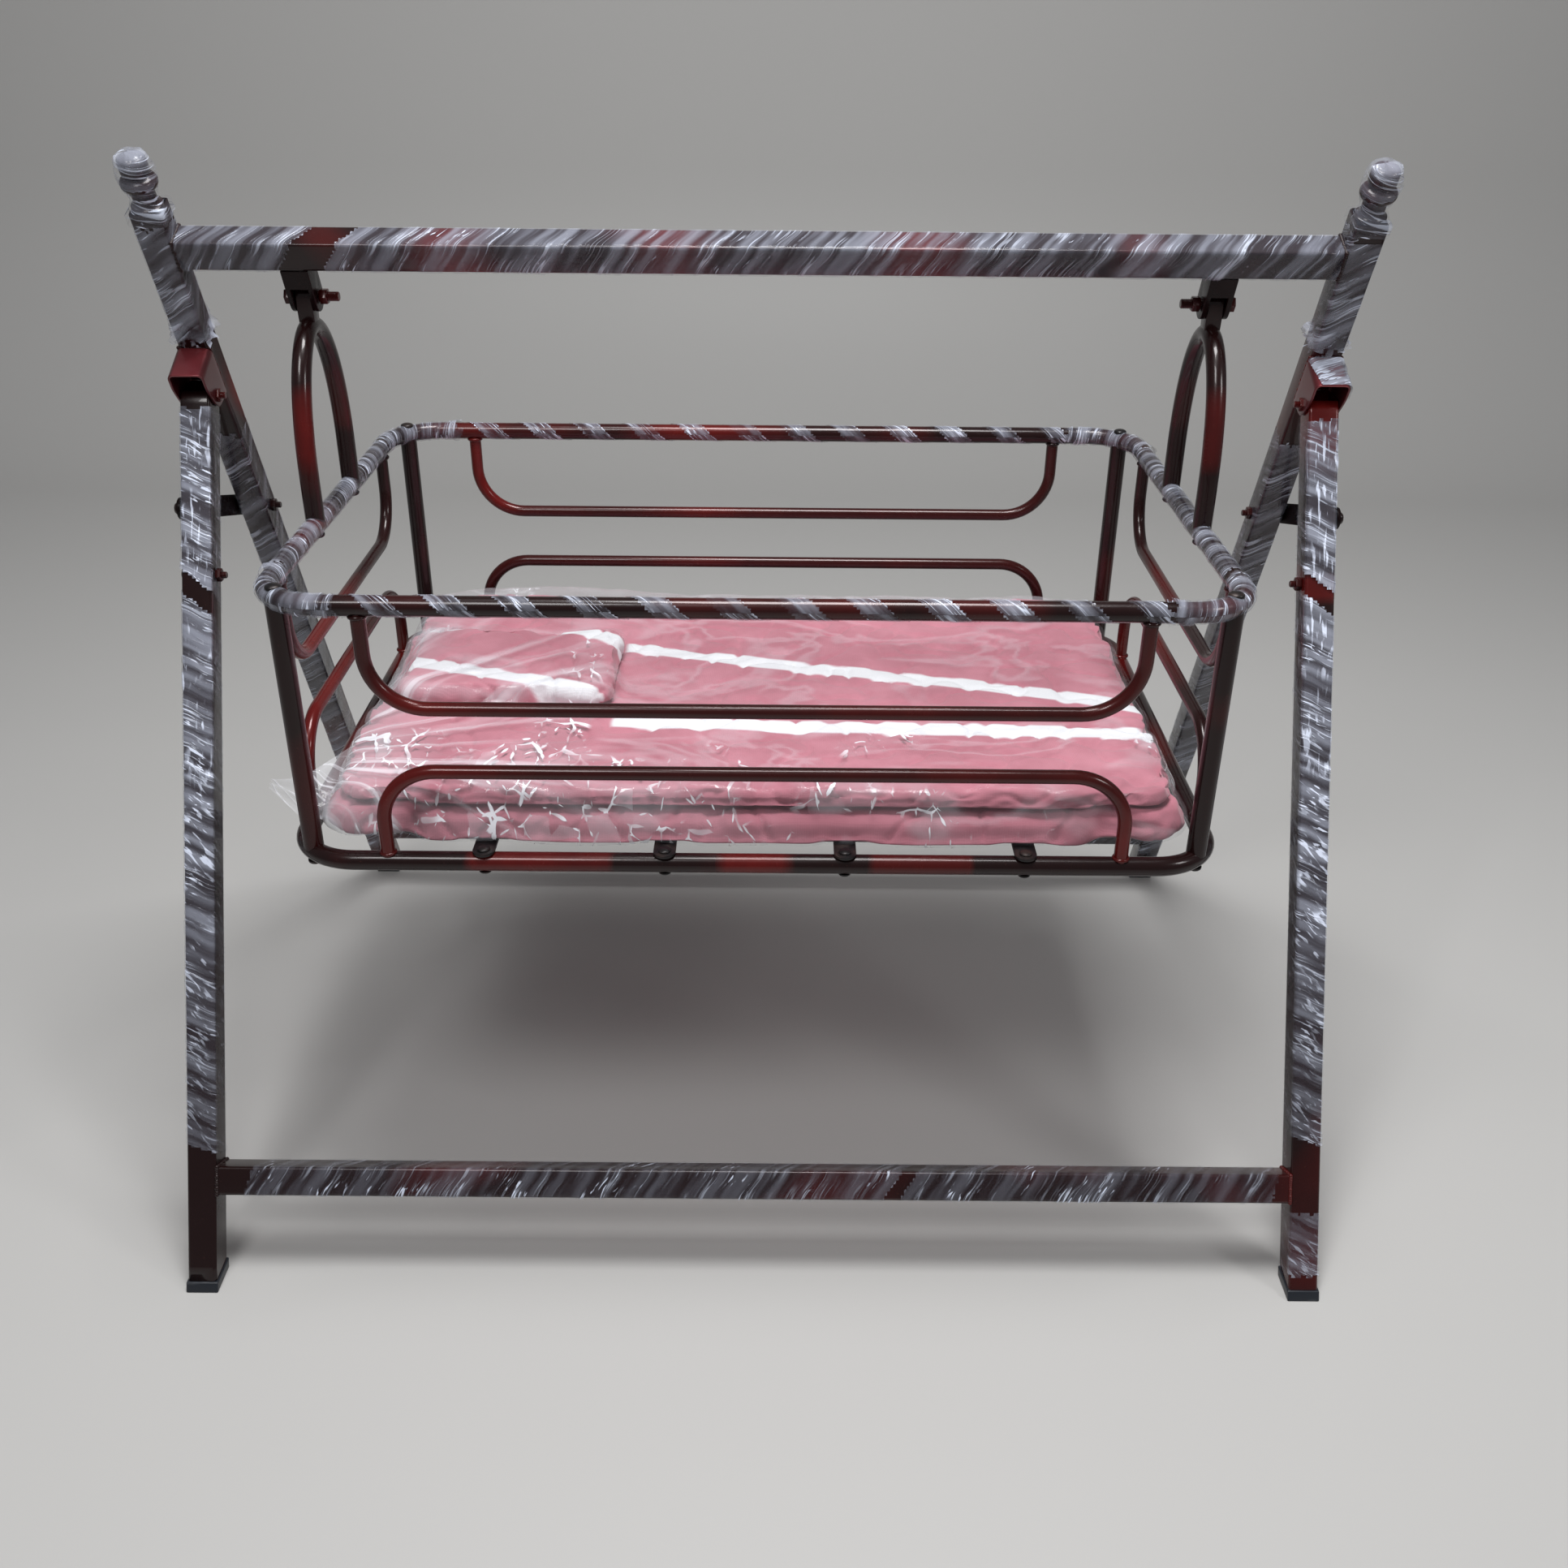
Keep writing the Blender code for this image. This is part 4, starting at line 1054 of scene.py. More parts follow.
@dataclass
class Spots:
    """Small shapes set on points by Geometry Nodes: rivets, bolt heads and weld beads."""

    scale: float = 1.0
    jitter: float = 0.0
    seed: int = 7

    @staticmethod
    def tree() -> bpy.types.NodeTree:
        """Build the node tree once.

        Returns:
            A geometry tree that sets a shape on every point.
        """
        known = bpy.data.node_groups.get("spots")
        if known:
            return known
        bench, given = opened("spots", (("Shape", "Object"), ("Scale", "Float"), ("Jitter", "Float"), ("Seed", "Int"),
                                        ("Finish", "Material")))
        points = bench.node("GeometryNodeMeshToPoints", None, {"Mesh": given["Geometry"]})
        shape = bench.node("GeometryNodeObjectInfo", None, {"Object": given["Shape"]}, "Geometry")
        low, high = given["Scale"] - given["Jitter"], given["Scale"] + given["Jitter"]
        size = bench.node("FunctionNodeRandomValue", {"data_type": "FLOAT"},
                          {2: low, 3: high, "Seed": given["Seed"]}, 1)
        spots = bench.node("GeometryNodeInstanceOnPoints", None,
                           {"Points": points, "Instance": shape, "Scale": bench.vector(size, size, size)})
        return closed(bench, spots, given["Finish"])

    def mesh(self, shop: Workshop, shape: Mesh, places: Sequence[Point], finish: Finish) -> Mesh:
        """Set a shape on places.

        Args:
            shop: the workshop.
            shape: mesh of one spot, about the origin.
            places: where the spots go.
            finish: their finish.

        Returns:
            One mesh of all the spots.
        """
        model = linked("spot_shape", shape)
        cloud = bpy.data.meshes.new("spot_places")
        cloud.from_pydata([tuple(place) for place in places], [], [])
        values = {"Shape": model, "Scale": self.scale, "Jitter": self.jitter, "Seed": self.seed,
                  "Finish": shop.finish(finish)}
        mesh = shop.grown(linked("spot_places", cloud), self.tree(), values)
        bpy.data.objects.remove(model)
        return mesh


PAINT = CandyPaint("maroon_candy_paint")
DARK_PAINT = CandyPaint("dark_maroon_paint", deep=(0.005, 0.0025, 0.0028), bright=(0.016, 0.0035, 0.0035),
                        roughness=0.22, metallic=0.0, specular=0.10, coat=0.12)
# hood paint: a lighter, more metallic copy of the maroon paint; its bright colours are partly the hoods' red and
# partly a painted highlight
LIT_HOOD_PAINT = CandyPaint("lit_hood_candy_paint", deep=(0.10, 0.016, 0.020), bright=(0.32, 0.050, 0.060), metallic=0.50,
                        roughness=0.30, coat=0.5)
BLACK = SatinBlack("satin_black")
CAP = CapPlastic("foot_cap_plastic")
# painted reflection: the side shares below keep the film fainter on side faces than on faces turned front and up
FILM = StretchFilm("stretch_film", haze=0.17, streak=0.16, line=0.26, shaded_side_share=0.55)
BEAM_FILM = StretchFilm("beam_stretch_film", haze=0.17, streak=0.15, line=0.24, edge=0.20, shaded_side_share=0.4)
BAR_FILM = StretchFilm("stretcher_stretch_film", haze=0.05, streak=0.08, line=0.20, edge=0.16, glint_low=0.60,
                       patch_low=0.50, shaded_side_share=0.6)
KNOB_FILM = StretchFilm("loose_stretch_film", haze=0.07, streak=0.18, line=0.30, glint_low=0.58, patch_low=0.50)
HOOD_FILM = StretchFilm("drawn_stretch_film", haze=0.42, streak=0.34, line=0.36, edge=0.4, glint_low=0.55,
                        patch_low=0.44)
LEG_FILM = StretchFilm("crinkled_stretch_film", haze=0.27, streak=0.16, line=0.20, edge=0.55, axial=0.9,
                       low_share=0.40, shaded_side_share=0.22, glint_low=0.585, patch_low=0.46)
RING_FILM = StretchFilm("ring_stretch_film", haze=0.10, streak=0.26, edge=0.55, glint_low=0.62, patch_low=0.50)
CLOTH = PinkCloth("pink_brushed_cotton")
QUILT_CLOTH = PinkCloth("banded_brushed_cotton", bands=((0.017, -0.247, 0.263, -0.988), (-0.118, -0.038, 0.03)),
                        band_start=-0.128)
PILLOW_CLOTH = PinkCloth("banded_pillow_cotton", bands=((-0.150, -1.72, -3.50), (-0.173, -0.598, -0.530)))
BAG = ClearBag("clear_bag")
FLOOR = StudioFloor("studio_floor")


def step(value: float, low: float, high: float) -> float:
    """A smooth step from 0 at low to 1 at high; it falls where low is above high."""
    share = min(1.0, max(0.0, (value - low) / (high - low)))
    return share * share * (3.0 - 2.0 * share)


def dome(head: float, height: float, steps: int = 6) -> Profile:
    """Profile of a low domed head from its top to its seat at height 0."""
    rise = [(head * math.sin(math.pi / 2 * i / steps), height * (0.3 + 0.7 * math.cos(math.pi / 2 * i / steps)))
            for i in range(steps + 1)]
    return rise + [(head, 0.0)]


def thread(radius: float, top: float, bottom: float, pitch: float = 0.0011) -> Profile:
    """Profile of a threaded shank between two heights, downwards, with a chamfered end.

    Args:
        radius: outer radius.
        top: upper height.
        bottom: lower height.
        pitch: height of one turn.

    Returns:
        Pairs of radius and height.
    """
    turns = max(1, round((top - bottom) / pitch))
    profile = []
    for i in range(turns):
        height = top - (top - bottom) * i / turns
        profile += [(radius, height - 0.15 * pitch), (0.86 * radius, height - 0.65 * pitch)]
    return profile + [(0.80 * radius, bottom), (0.0, bottom)]


@dataclass
class Stand:
    """The folding stand: uprights, front legs, cross tubes, hinges, stays, caps and finials."""

    shop: Workshop
    leg_x: float = 0.476
    half_tube: float = 0.0125
    corner: float = 0.0026
    upright: float = 0.937
    beam_rise: float = 0.9005
    stretcher_rise: float = 0.091
    hinge_rise: float = 0.764
    stay_bolt_rise: float = 0.623
    leg_bolt_rise: float = 0.612
    finial_height: float = 0.043
    clevis_half: float = 0.0115
    stay_gap: float = 0.0026
    stay_wall: float = 0.003
    hood_gap: float = 0.0006
    hood_half: float = 0.0151
    hood_wall: float = 0.002
    hood_fold: float = 0.0056
    hood_rim: float = 0.0006
    hood_peak: float = 0.0335
    hood_fall: float = 0.029
    hood_feet: tuple[Pair, ...] = (
        (0.0003, -0.0120), (0.0060, -0.0118), (0.0120, -0.0114), (0.0180, -0.0108), (0.0228, -0.0096),
        (0.0262, -0.0056), (0.0288, -0.0010), (0.0312, 0.0058), (0.0330, 0.0116), (0.0345, 0.0180),
    )
    hood_seam: tuple[float, float, float, float] = (0.0131, 0.0112, 0.7690, 0.8118)
    hanger_x: float = 0.373
    bead: float = 0.0019
    bead_out: float = 0.0006
    bead_sink: float = 0.0004
    beam_reds: tuple[Point, ...] = (
        (-0.248, 0.040, 0.8), (-0.073, 0.035, 0.9), (0.128, 0.050, 1.3), (0.303, 0.035, 0.9),
    )
    leg_reds: tuple[Point, ...] = ((0.685, 0.045, 1.5), (0.553, 0.012, 1.3))
    upright_runs: tuple[tuple[str, float, float], ...] = (
        ("_upright_top_film", 0.814, 0.932), ("_upright_film", 0.050, 0.724),
    )
    leg_runs: ClassVar[dict[str, tuple[tuple[float, float, float, float], ...]]] = {
        "left": ((0.098, 0.606, 0.6, 1.6), (0.552, 0.752, 1.6, 0.0)),
        "right": ((0.014, 0.071, 0.0, 0.0), (0.112, 0.612, 0.6, 1.6), (0.556, 0.750, 1.6, 0.0)),
    }

    def on_upright(self, rise: float, x: float) -> Point:
        """A point on an upright's axis."""
        place = REAR_FOOT + UP * rise
        return (x, place.y, place.z)

    def on_leg(self, rise: float, x: float) -> Point:
        """A point on a front leg's axis."""
        place = FRONT_FOOT + LEG_UP * rise
        return (x, place.y, place.z)

    def build(self) -> None:
        """Make every piece of the stand."""
        self.tubes()
        self.plates()
        self.hoods()
        self.finials()
        self.bolts()
        self.welds()

    def tubes(self) -> None:
        """Square tubes with drawn corners."""
        rear = ("left_upright", "right_upright", "top_beam", "rear_stretcher")
        front = ("left_front_leg", "right_front_leg", "front_stretcher")
        for body, names in ((Body.REAR, rear), (Body.FRONT, front)):
            for name in names:
                mesh = self.shop.eased_copy(name, self.corner, 3, 0.08)
                if name == "top_beam":
                    mesh = self.shop.tint(self.shop.sliced(mesh, 0), self.beam_tint)
                elif name.endswith("leg"):
                    reds = self.leg_reds if name.startswith("right") else ()
                    mesh = self.shop.tint(self.shop.sliced(mesh, 2), lambda p: self.runs(p.z, reds))
                else:
                    self.shop.tint(mesh, lambda p: -0.35)
                self.shop.piece(name + "_tube", mesh, PAINT, body, Slot.PAINT, [name], TUBE_EDGE)

    def beam_tint(self, place: Vector) -> float:
        """Red lengths between dark ones along the beam."""
        return self.runs(place.x, self.beam_reds)

    @staticmethod
    def runs(value: float, reds: tuple[Point, ...]) -> float:
        """Shift of the paint's tone: dark, with a red run of some width and strength about each place."""
        return -0.5 + sum(tone * math.exp(-((value - place) / wide) ** 2) for place, wide, tone in reds)

    def plates(self) -> None:
        """Clevises, stays and foot caps with eased edges."""
        for side in SIDES:
            rows = (("_clevis", "_swing_clevis", DARK_PAINT, Body.REAR, Slot.DARK, 0.0012),
                    ("_stay", "_stay_strip", DARK_PAINT, Body(side + "_stay"), Slot.DARK, 0.0005),
                    ("_rear_foot_cap", "_rear_cap", CAP, Body.REAR, Slot.PLASTIC, 0.0011),
                    ("_front_foot_cap", "_front_cap", CAP, Body.FRONT, Slot.PLASTIC, 0.0011))
            for node, name, finish, body, slot, width in rows:
                mesh = self.shop.eased_copy(side + node, width, 3)
                self.shop.piece(side + name, mesh, finish, body, slot, [side + node])

    def hood_section(self, reach: float, foot: float, inset: float) -> list[Pair]:
        """Section of a hinge hood's folded plate, up one cheek, over the roof and down the other.

        Args:
            reach: distance from the upright's face.
            foot: rise of the cheeks' lower edge.
            inset: distance inside the outer face.

        Returns:
            Pairs of sideways place and rise from the hinge pin.
        """
        half, radius = self.hood_half - inset, self.hood_fold - inset
        top = self.hood_peak - self.hood_fall * reach - inset - radius
        turns = [math.radians(15.0 * i) for i in range(7)]
        right = [(half, foot), (half, 0.5 * (foot + top))]
        right += [(half - radius + radius * math.cos(turn), top + radius * math.sin(turn)) for turn in turns]
        return [(-side, rise) for side, rise in right] + right[::-1]

    def hood_place(self, x: float, reach: float, side: float, rise: float) -> Vector:
        """A point of a hinge hood from its reach off the upright's face and its rise from the hinge pin."""
        pin = Vector(self.on_leg(self.hinge_rise, x + side))
        from_face = (pin - REAR_FOOT).dot(OUT) - self.half_tube
        return pin + OUT * (reach - from_face) + UP * rise

    def hoods(self) -> None:
        """Hinge hoods, each one plate folded over the leg's top, open at the front."""
        for side, sign in SIDES.items():
            x = sign * self.leg_x
            work = bmesh.new()
            outer, inner = ([[work.verts.new(self.hood_place(x, reach, *spot))
                              for spot in self.hood_section(reach, foot, inset)]
                             for reach, foot in self.hood_feet] for inset in (0.0, self.hood_wall))
            bridged(work, outer)
            bridged(work, inner)
            for end in (0, -1):
                bridged(work, (outer[end], inner[end]))
                bridged(work, [[row[end] for row in skin] for skin in (outer, inner)])
            bmesh.ops.recalc_face_normals(work, faces=work.faces)
            rims = [edge for edge in work.edges if edge.is_convex and edge.calc_face_angle() > HOOD_RIM]
            bmesh.ops.bevel(work, geom=rims, offset=self.hood_rim, segments=3, profile=0.6, affect="EDGES")
            # painted light: a painted highlight on the hood's roof and painted shade down its cheeks
            mesh = self.shop.tint(made("hood", work), self.hood_painted_light)
            # the lighter hood paint is partly a painted highlight
            self.shop.piece(side + "_hinge_hood", mesh, LIT_HOOD_PAINT, Body.REAR, Slot.PAINT, [side + "_hinge_bracket"])

    def hood_painted_light(self, place: Vector) -> float:
        """Shift of the hood paint's tone as painted light: a painted highlight on the roof, painted shade down the
        cheeks.
        """
        across = abs(abs(place.x) - self.leg_x)
        return 0.40 - 0.95 * step(across, self.hood_half - self.hood_fold, self.hood_half)

    def hood_film(self, x: float, steps: int = 28) -> Mesh:
        """Film drawn over the roof and the outer cheek of the right hood, slanting across the roof to its lip.

        Args:
            x: side of the stand.
            steps: rows from the upright to the lip.

        Returns:
            The film's mesh with its maps.
        """
        begin, span, foot, lift = 0.0008, 0.0343, 0.016, 0.0009
        cut, slant, ruck_height, least = 0.24, 0.20, 0.0007, 0.0004
        pitch, lap, girth, skew = 0.030, 0.070, 0.080, 0.4
        work = bmesh.new()
        rows, spots = [], {}
        for i in range(steps + 1):
            reach = begin + span * i / steps
            outline = self.hood_section(reach, foot, -lift)
            dense = [Vector(a).lerp(Vector(b), t / 3) for a, b in zip(outline, outline[1:]) for t in range(3)]
            row, length = [], 0.0
            for j, spot in enumerate(dense):
                length += (spot - dense[j - 1]).length if j else 0.0
                vert = work.verts.new(self.hood_place(x, reach, *spot))
                vert.index = len(spots)
                spots[vert.index] = (reach, length)
                row.append(vert)
            rows.append(row)
        count = len(rows[0])
        for i, (near, far) in enumerate(zip(rows, rows[1:])):
            for j in range(count - 1):
                if j / count > cut + slant * i / steps:
                    work.faces.new((near[j], near[j + 1], far[j + 1], far[j]))
        bmesh.ops.recalc_face_normals(work, faces=work.faces)
        work.normal_update()
        for vert in work.verts:
            ruck = noise.noise(vert.co * 170.0) + 0.5 * noise.noise(vert.co * 420.0)
            vert.co += vert.normal * (ruck_height * ruck + least)
        loose = [vert for vert in work.verts if not vert.link_faces]
        kept = [spots[vert.index] for vert in work.verts if vert.link_faces]
        bmesh.ops.delete(work, geom=loose, context="VERTS")
        mesh = made("hood_film", work)
        self.film_maps(mesh, [((reach / pitch + length / lap, length / girth), (reach + skew * length, length),
                               (reach, length)) for reach, length in kept])
        self.shop.mark(mesh, StretchFilm.loose, lambda p: 0.30)
        # painted reflection: the film on the hood's roof counts as turned front and up
        return self.shop.mark(mesh, StretchFilm.painted_reflection, lambda p: 0.9)

    @staticmethod
    def film_maps(mesh: Mesh, places: Sequence[tuple[Pair, ...]]) -> None:
        """Write the film's maps from each point's places in them.

        Args:
            mesh: the film.
            places: for each point, its place in each map.
        """
        layers = [mesh.uv_layers.new(name=name).data for name in StretchFilm.maps]
        for loop in mesh.loops:
            for layer, place in zip(layers, places[loop.vertex_index]):
                layer[loop.index].uv = place

    def finials(self) -> None:
        """Turned knobs on the tube tops."""
        high = self.finial_height
        bead = [(0.0092 + 0.0053 * math.sin(math.pi * i / 12), high * (0.5 + 0.12 * math.cos(math.pi * i / 12)))
                for i in range(1, 12)]
        profile = [(0.0, high), (0.0078, high), (0.0094, high * 0.985), (0.0106, high * 0.955), (0.0112, high * 0.92),
                   (0.0112, high * 0.72), (0.0104, high * 0.685), (0.0092, high * 0.64), *bead, (0.0092, high * 0.36),
                   (0.0092, high * 0.14), (0.0106, high * 0.09), (0.0125, high * 0.065), (0.0125, 0.0003),
                   (0.0, 0.0003)]
        for side, sign in SIDES.items():
            place = Matrix.Translation(self.on_upright(self.upright, sign * self.leg_x))
            mesh = self.shop.turned(profile, place @ Matrix.Rotation(LEAN, 4, "X"), 40)
            self.shop.piece(side + "_knob", mesh, PAINT, Body.REAR, Slot.PAINT, [side + "_finial"], TUBE_EDGE)

    def bolt(self, seat: Point, sign: float, head: tuple[float, float, float], grip: float, nut: float,
             tail: float) -> Mesh:
        """A cross bolt with a domed head, a hexagon nut and a threaded end.

        Args:
            seat: middle of the head's seat.
            sign: side that the head looks to, along X.
            head: shank radius, head radius and head height.
            grip: seat to nut.
            nut: height of the nut.
            tail: thread past the nut.

        Returns:
            The bolt's mesh.
        """
        shank, radius, height = head
        place = Matrix.Translation(seat) @ Matrix.Rotation(sign * math.pi / 2, 4, "Y")
        pin = dome(radius, height) + [(shank, 0.0), (shank, -grip)] + thread(shank, -grip, -grip - nut - tail)
        return self.shop.merged([self.shop.turned(pin, place, 28), self.hexagon(radius, nut, place, -grip - nut)])

    def hexagon(self, radius: float, height: float, place: Matrix, low: float) -> Mesh:
        """A hexagon block with chamfered corners that stands on a local height.

        Args:
            radius: middle to corner.
            height: height of the block.
            place: where its axis goes.
            low: height of its lower face.

        Returns:
            The block's mesh.
        """
        work = bmesh.new()
        bmesh.ops.create_cone(work, cap_ends=True, segments=6, radius1=radius, radius2=radius, depth=height)
        bmesh.ops.translate(work, vec=(0.0, 0.0, low + height / 2), verts=work.verts)
        rims = [edge for edge in work.edges if abs(edge.verts[0].co.z - edge.verts[1].co.z) < 1e-6]
        bmesh.ops.bevel(work, geom=rims, offset=0.10 * radius, segments=2, profile=0.5, affect="EDGES")
        mesh = made("hexagon", work)
        mesh.transform(place)
        return mesh

    def bolts(self) -> None:
        """Hinge, stay, leg and swing bolts."""
        hinge, frame, swing = (0.003, 0.0058, 0.0024), (0.003, 0.0058, 0.0036), (0.004, 0.0065, 0.0052)
        nut, tail, swing_nut, swing_tail = 0.005, 0.004, 0.0065, 0.0155
        outer = self.half_tube + SEAT_GAP
        cheek = self.half_tube + self.hood_gap + self.hood_wall + SEAT_GAP
        for side, sign in SIDES.items():
            rows = (("_hinge_bolt", "_hinge_pin", Body.REAR, self.on_leg(self.hinge_rise, 0.0), cheek, hinge),
                    ("_stay_bolt", "_stay_pin", Body.REAR, self.on_upright(self.stay_bolt_rise, 0.0),
                     outer + self.stay_gap + self.stay_wall, frame),
                    ("_leg_bolt", "_leg_pin", Body.FRONT, self.on_leg(self.leg_bolt_rise, 0.0), outer, frame))
            for node, name, body, place, reach, size in rows:
                seat = (sign * (self.leg_x + reach), place[1], place[2])
                low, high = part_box(side + node)
                inner = min(abs(low[0]), abs(high[0]))
                grip = self.leg_x + reach - inner - nut - tail
                mesh = self.bolt(seat, sign, size, grip, nut, tail)
                self.shop.piece(side + name, mesh, PAINT, body, Slot.BOLT, [side + node])
            seat = (sign * (self.hanger_x + self.clevis_half + SEAT_GAP), PIVOT.y, PIVOT.z)
            place = Matrix.Translation(seat) @ Matrix.Rotation(sign * math.pi / 2, 4, "Y")
            grip = 2 * (self.clevis_half + SEAT_GAP)
            shaft = [(0.0, 0.0), (swing[0], 0.0), (swing[0], -grip), *thread(swing[0], -grip, -grip - swing_tail)]
            bolt = self.shop.merged([self.hexagon(swing[1], swing[2], place, 0.0), self.shop.turned(shaft, place, 28)])
            self.shop.piece(side + "_swing_pin", bolt, PAINT, Body.REAR, Slot.PAINT, [side + "_swing_bolt"])
            mesh = self.hexagon(swing[1], swing_nut, place, -grip - swing_nut)
            self.shop.piece(side + "_swing_hex_nut", mesh, PAINT, Body.REAR, Slot.PAINT, [side + "_swing_nut"])

    @staticmethod
    def square(middle: Point, across: Vector, half: float) -> list[Point]:
        """Points round a square tube's end, from its middle, one side's direction and half its width."""
        other = Vector((1.0, 0.0, 0.0)).cross(across)
        corners = [Vector(middle) + across * (half * a) + other * (half * b) for a, b in CORNERS]
        return spaced(corners + corners[:1])

    def welds(self) -> None:
        """Rows of weld beads where the cross tubes meet the legs and the hoods meet the uprights."""
        work = bmesh.new()
        bmesh.ops.create_icosphere(work, subdivisions=2, radius=self.bead)
        bead = made("bead", work)
        spots = Spots(1.0, 0.18)
        end = self.leg_x - self.half_tube - self.bead_out
        rows = (("beam_welds", Body.REAR, lambda x: self.on_upright(self.beam_rise, x), UP),
                ("rear_stretcher_welds", Body.REAR, lambda x: self.on_upright(self.stretcher_rise, x), UP),
                ("front_stretcher_welds", Body.FRONT, lambda x: self.on_leg(self.stretcher_rise, x), LEG_UP))
        for name, body, place, across in rows:
            points = [p for x in (-end, end) for p in self.square(place(x), across, self.half_tube - self.bead_sink)]
            mesh = spots.mesh(self.shop, bead.copy(), points, PAINT)
            self.shop.piece(name, mesh, None, body, Slot.PAINT, (), BEAD_EDGE)
        for side, sign in SIDES.items():
            mesh = spots.mesh(self.shop, bead.copy(), self.hood_line(sign * self.leg_x), PAINT)
            self.shop.piece(side + "_hood_welds", mesh, None, Body.REAR, Slot.PAINT, (), BEAD_EDGE)

    def hood_line(self, x: float) -> list[Point]:
        """Points where a hinge hood meets the upright: up one cheek, under the roof and down the other."""
        half, front, low, high = self.hood_seam
        corners = ((-half, low), (-half, high), (half, high), (half, low))
        return spaced([Vector(self.on_upright(rise, x + side)) + OUT * front for side, rise in corners])

    def wrap(self) -> None:
        """Wind the stretch film on the tubes."""
        end = self.leg_x - self.half_tube
        tube = {"half": self.half_tube, "squareness": 22.0, "sides": 52}
        for side, sign in SIDES.items():
            x = sign * self.leg_x
            upper = FilmWrap(**tube, hand=-1.0, pitch=0.062, crinkle=0.0006, flare=0.009, seed=1 + sign)
            lower = FilmWrap(**tube, hand=-1.0, pitch=0.062, crinkle=0.0004, flare=0.001, seed=4 + sign, spacing=0.003)
            for (name, low, high), wrap in zip(self.upright_runs, (upper, lower)):
                mesh = wrap.wind(self.shop, [self.on_upright(low, x), self.on_upright(high, x)], FILM)
                self.shop.film(side + name, [mesh], Body.REAR, FILM)
            self.shop.film(side + "_knob_film", [self.knob_film(x, 3.0 + sign)], Body.REAR, KNOB_FILM)
            if side == "right":
                self.shop.film("right_hood_film", [self.hood_film(x)], Body.REAR, HOOD_FILM)
            legs = []
            for index, (low, high, first, last) in enumerate(self.leg_runs[side]):
                wrap = FilmWrap(**tube, tilt=math.pi, pitch=0.045, crinkle=0.0004, flare=0.001, start_slant=first,
                                end_slant=last, tear=0.002, seed=8 + sign + index)
                legs.append(wrap.wind(self.shop, [self.on_leg(low, x), self.on_leg(high, x)], LEG_FILM))
            self.shop.film(side + "_front_leg_film", legs, Body.FRONT, LEG_FILM)
        across = {**tube, "pitch": 0.060, "crinkle": 0.0003, "tear": 0.0015}
        rows = (("top_beam_film", self.on_upright, self.beam_rise, Body.REAR, BEAM_FILM, LEAN + math.pi,
                 ((-end, -0.346, 0.0, 1.0), (-0.372, end, 1.0, 0.0))),
                ("rear_stretcher_film", self.on_upright, self.stretcher_rise, Body.REAR, BAR_FILM, LEAN + math.pi,
                 ((-end, end, 0.0, 0.0),)),
                ("front_stretcher_film", self.on_leg, self.stretcher_rise, Body.FRONT, BAR_FILM, math.pi - LEAN,
                 ((-end + 0.012, 0.150, 0.5, 1.0), (0.102, end - 0.004, 1.0, 0.3))))
        for index, (name, place, rise, body, film, tilt, runs) in enumerate(rows):
            wound = []
            for low, high, first, last in runs:
                wrap = FilmWrap(**across, tilt=tilt, start_slant=first, end_slant=last, seed=21 + 6 * index)
                wound.append(wrap.wind(self.shop, [place(rise, low), place(rise, high)], film))
            self.shop.film(name, wound, body, film)

    def knob_film(self, x: float, seed: float) -> Mesh:
        """Film gathered loosely over a finial, closed at the top.

        Args:
            x: side of the stand.
            seed: shifts the crumples.

        Returns:
            The film's mesh with its maps.
        """
        high, square = self.finial_height, self.half_tube + 0.0021
        profile = [(0.0, high + 0.0030), (0.004, high + 0.0028), (0.008, high + 0.0020), (0.0112, high + 0.0004)]
        profile += [(0.0126 + 0.0024 * math.sin(4.4 * i / 10), high * (0.94 - 0.74 * i / 10)) for i in range(11)]
        profile += [(0.0118, 0.006), (0.0130, 0.003), (square, 0.0005), (square, -0.004), (square, -0.009)]
        mesh = self.shop.turned(profile, Matrix.Identity(4), 72)
        pitch, girth, broad, fine, least, corner = 0.018, 0.08, 0.0009, 0.0003, 0.0006, 1.33
        spots = [(vert.co.z, math.atan2(vert.co.y, vert.co.x) / (2 * math.pi)) for vert in mesh.vertices]
        self.film_maps(mesh, [((z / pitch + turn, turn), (z + pitch * turn, girth * turn), (z, girth * turn))
                              for z, turn in spots])
        # whiter top: partly film bunched over the flat top and partly a painted reflection of the ceiling on it
        self.shop.mark(mesh, StretchFilm.loose, lambda p: 0.35 * step(p.z, high - 0.006, high))
        for vert in mesh.vertices:
            out = Vector((vert.co.x, vert.co.y, 0.25 * max(0.0, vert.co.z - 0.02))).normalized()
            boxy = max(abs(out.x), abs(out.y)) ** -1 if vert.co.z < 0.002 else 1.0
            vert.co.x, vert.co.y = vert.co.x * min(boxy, corner), vert.co.y * min(boxy, corner)
            crease = noise.noise(vert.co * 150.0 + Vector((seed, 0, 0))) * broad
            crease += noise.noise(vert.co * 380.0 + Vector((0, seed, 0))) * fine
            vert.co += out * (crease + least)
        place = Matrix.Translation(self.on_upright(self.upright, x))
        mesh.transform(place @ Matrix.Rotation(LEAN, 4, "X"))
        return mesh


